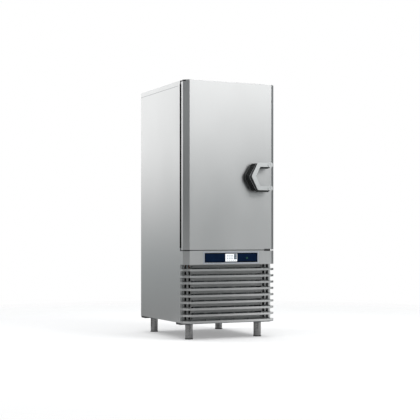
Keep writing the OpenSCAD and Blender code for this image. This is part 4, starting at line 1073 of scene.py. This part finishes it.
# Round grey drape: it gets lighter upwards, it is lightest behind the machine, where the machine's
# sides mirror it, and it has four darker flags for the bevels. Azimuths are in degrees from +X.
DRAPE_R = 4.6
DRAPE_TOP = 5.0
DRAPE_COLUMNS = 72
DRAPE_ROWS = 24
DRAPE_LOW = 0.21
DRAPE_RISE = (0.15, 2.7)
FLAG_AZIMUTHS = (25, 155, 205, 335)
FLAG_HALF_WIDTH = 34
FLAG_LEVEL = 0.105
GLOW_AZIMUTHS = (65, 115)
GLOW_HALF_WIDTH = 45
GLOW = 1.12
CEILING = 1.62
COOL = (0.93, 1.0, 1.01)
COOL_RANGE = 0.7  # how far below white the drape has its full cool tint

# Cloth on the floor round the machine. Each row is an azimuth with the cloth's brightness near the
# machine and at the drape. It is dark behind the machine and straight in front of it, and lightest
# in front of it on the right.
CLOTH_R = (0.9, 4.6)
CLOTH_Z = 0.004
CLOTH_LEVELS = (
    (0, 0.85, 0.85), (20, 0.85, 0.85), (50, 0.27, 0.44), (140, 0.27, 0.44),
    (165, 0.85, 0.85), (225, 0.8, 0.8), (262, 0.34, 0.34), (282, 0.44, 0.44),
    (298, 1.25, 1.25), (315, 1.7, 1.7), (345, 0.95, 0.95), (360, 0.85, 0.85),
)


def smooth(t):
    t = min(1.0, max(0.0, t))
    return t * t * (3 - 2 * t)


def share_between(value, low, high):
    """Smooth share of the way from low to high."""
    return smooth((value - low) / (high - low))


def nearness(azimuth, centre, half_width):
    """1 at an azimuth of the studio, falling smoothly to 0 at half_width from it."""
    return 1 - smooth(abs((azimuth - centre + 180) % 360 - 180) / half_width)


def drape_level(azimuth, z):
    """Brightness of the drape, as a share of white."""
    level = DRAPE_LOW + (1.0 - DRAPE_LOW) * share_between(z, *DRAPE_RISE)
    for glow in GLOW_AZIMUTHS:
        level *= 1 + GLOW * nearness(azimuth, glow, GLOW_HALF_WIDTH)
    level = min(level, CEILING)
    for flag in FLAG_AZIMUTHS:
        level += (FLAG_LEVEL - level) * nearness(azimuth, flag, FLAG_HALF_WIDTH)
    return level


def cloth_level(azimuth, ring):
    """Brightness of the cloth at an azimuth, on its near ring (0) or its far ring (1)."""
    for one, two in zip(CLOTH_LEVELS, CLOTH_LEVELS[1:]):
        if azimuth <= two[0]:
            share = share_between(azimuth, one[0], two[0])
            return one[1 + ring] + (two[1 + ring] - one[1 + ring]) * share
    return CLOTH_LEVELS[-1][1 + ring]


def drape_material():
    material, tree, surface = empty_material("studio_drape")
    level = tree.nodes.new("ShaderNodeVertexColor")
    level.layer_name = "level"
    glow = tree.nodes.new("ShaderNodeEmission")
    tree.links.new(level.outputs["Color"], glow.inputs["Color"])
    tree.links.new(glow.outputs[0], surface)
    return material


def reflection_only(name, points, faces, colours):
    """Makes a piece of the studio, with a colour for each point, where only reflections find it."""
    data = bpy.data.meshes.new(name)
    data.from_pydata(points, [], faces)
    levels = data.color_attributes.new("level", "FLOAT_COLOR", "POINT")
    for entry, colour in zip(levels.data, colours):
        entry.color = (*colour, 1.0)
    data.materials.append(drape_material())
    thing = bpy.data.objects.new(name, data)
    scene.collection.objects.link(thing)
    thing.visible_camera = False
    thing.visible_diffuse = False
    thing.visible_transmission = False
    thing.visible_volume_scatter = False
    thing.visible_shadow = False


def round_faces(rows):
    """Faces between rows + 1 rings of DRAPE_COLUMNS points."""
    faces = []
    for row in range(rows):
        one, two = row * DRAPE_COLUMNS, (row + 1) * DRAPE_COLUMNS
        for k in range(DRAPE_COLUMNS):
            j = (k + 1) % DRAPE_COLUMNS
            faces.append((one + k, one + j, two + j, two + k))
    return faces


def build_drape():
    points, colours = [], []
    for row in range(DRAPE_ROWS + 1):
        z = DRAPE_TOP * row / DRAPE_ROWS
        for k in range(DRAPE_COLUMNS):
            a = 2 * math.pi * k / DRAPE_COLUMNS
            points.append((DRAPE_R * math.cos(a), DRAPE_R * math.sin(a), z))
            level = drape_level(math.degrees(a) % 360, z)
            tint = smooth((1.0 - level) / COOL_RANGE)
            colours.append([level * (1 + (c - 1) * tint) for c in COOL])
    reflection_only("drape", points, round_faces(DRAPE_ROWS), colours)


def build_drape_foot():
    points, colours = [], []
    for ring, r in enumerate(CLOTH_R):
        for k in range(DRAPE_COLUMNS):
            azimuth = 360 * k / DRAPE_COLUMNS
            a = math.radians(azimuth)
            points.append((r * math.cos(a), r * math.sin(a), CLOTH_Z))
            colours.append([cloth_level(azimuth, ring)] * 3)
    reflection_only("drape_foot", points, round_faces(1), colours)


# ---- Lights ----

# Name, place, target, width, height and power of each soft box
SOFTBOXES = (
    ("key_right", (2.4, -4.2, 4.2), (0.0, 0.0, 1.2), 2.8, 2.2, 135),
    ("fill_left", (-3.4, 2.6, 4.2), (-0.3, 0.0, 1.2), 2.8, 2.2, 60),
    ("top", (0.0, -0.3, 4.4), (0.0, 0.0, 0.0), 5.0, 5.0, 64),
)


def add_softbox(name, place, target, width, height, power):
    lamp = bpy.data.lights.new(name, "AREA")
    lamp.shape = "RECTANGLE"
    lamp.size = width
    lamp.size_y = height
    lamp.energy = power
    thing = bpy.data.objects.new(name, lamp)
    thing.location = place
    aim = Vector(target) - Vector(place)
    thing.rotation_euler = aim.to_track_quat("-Z", "Y").to_euler()
    scene.collection.objects.link(thing)


build_camera()
build_world()
build_floor()
build_drape()
build_drape_foot()
for softbox in SOFTBOXES:
    add_softbox(*softbox)

scene.view_settings.view_transform = "Standard"
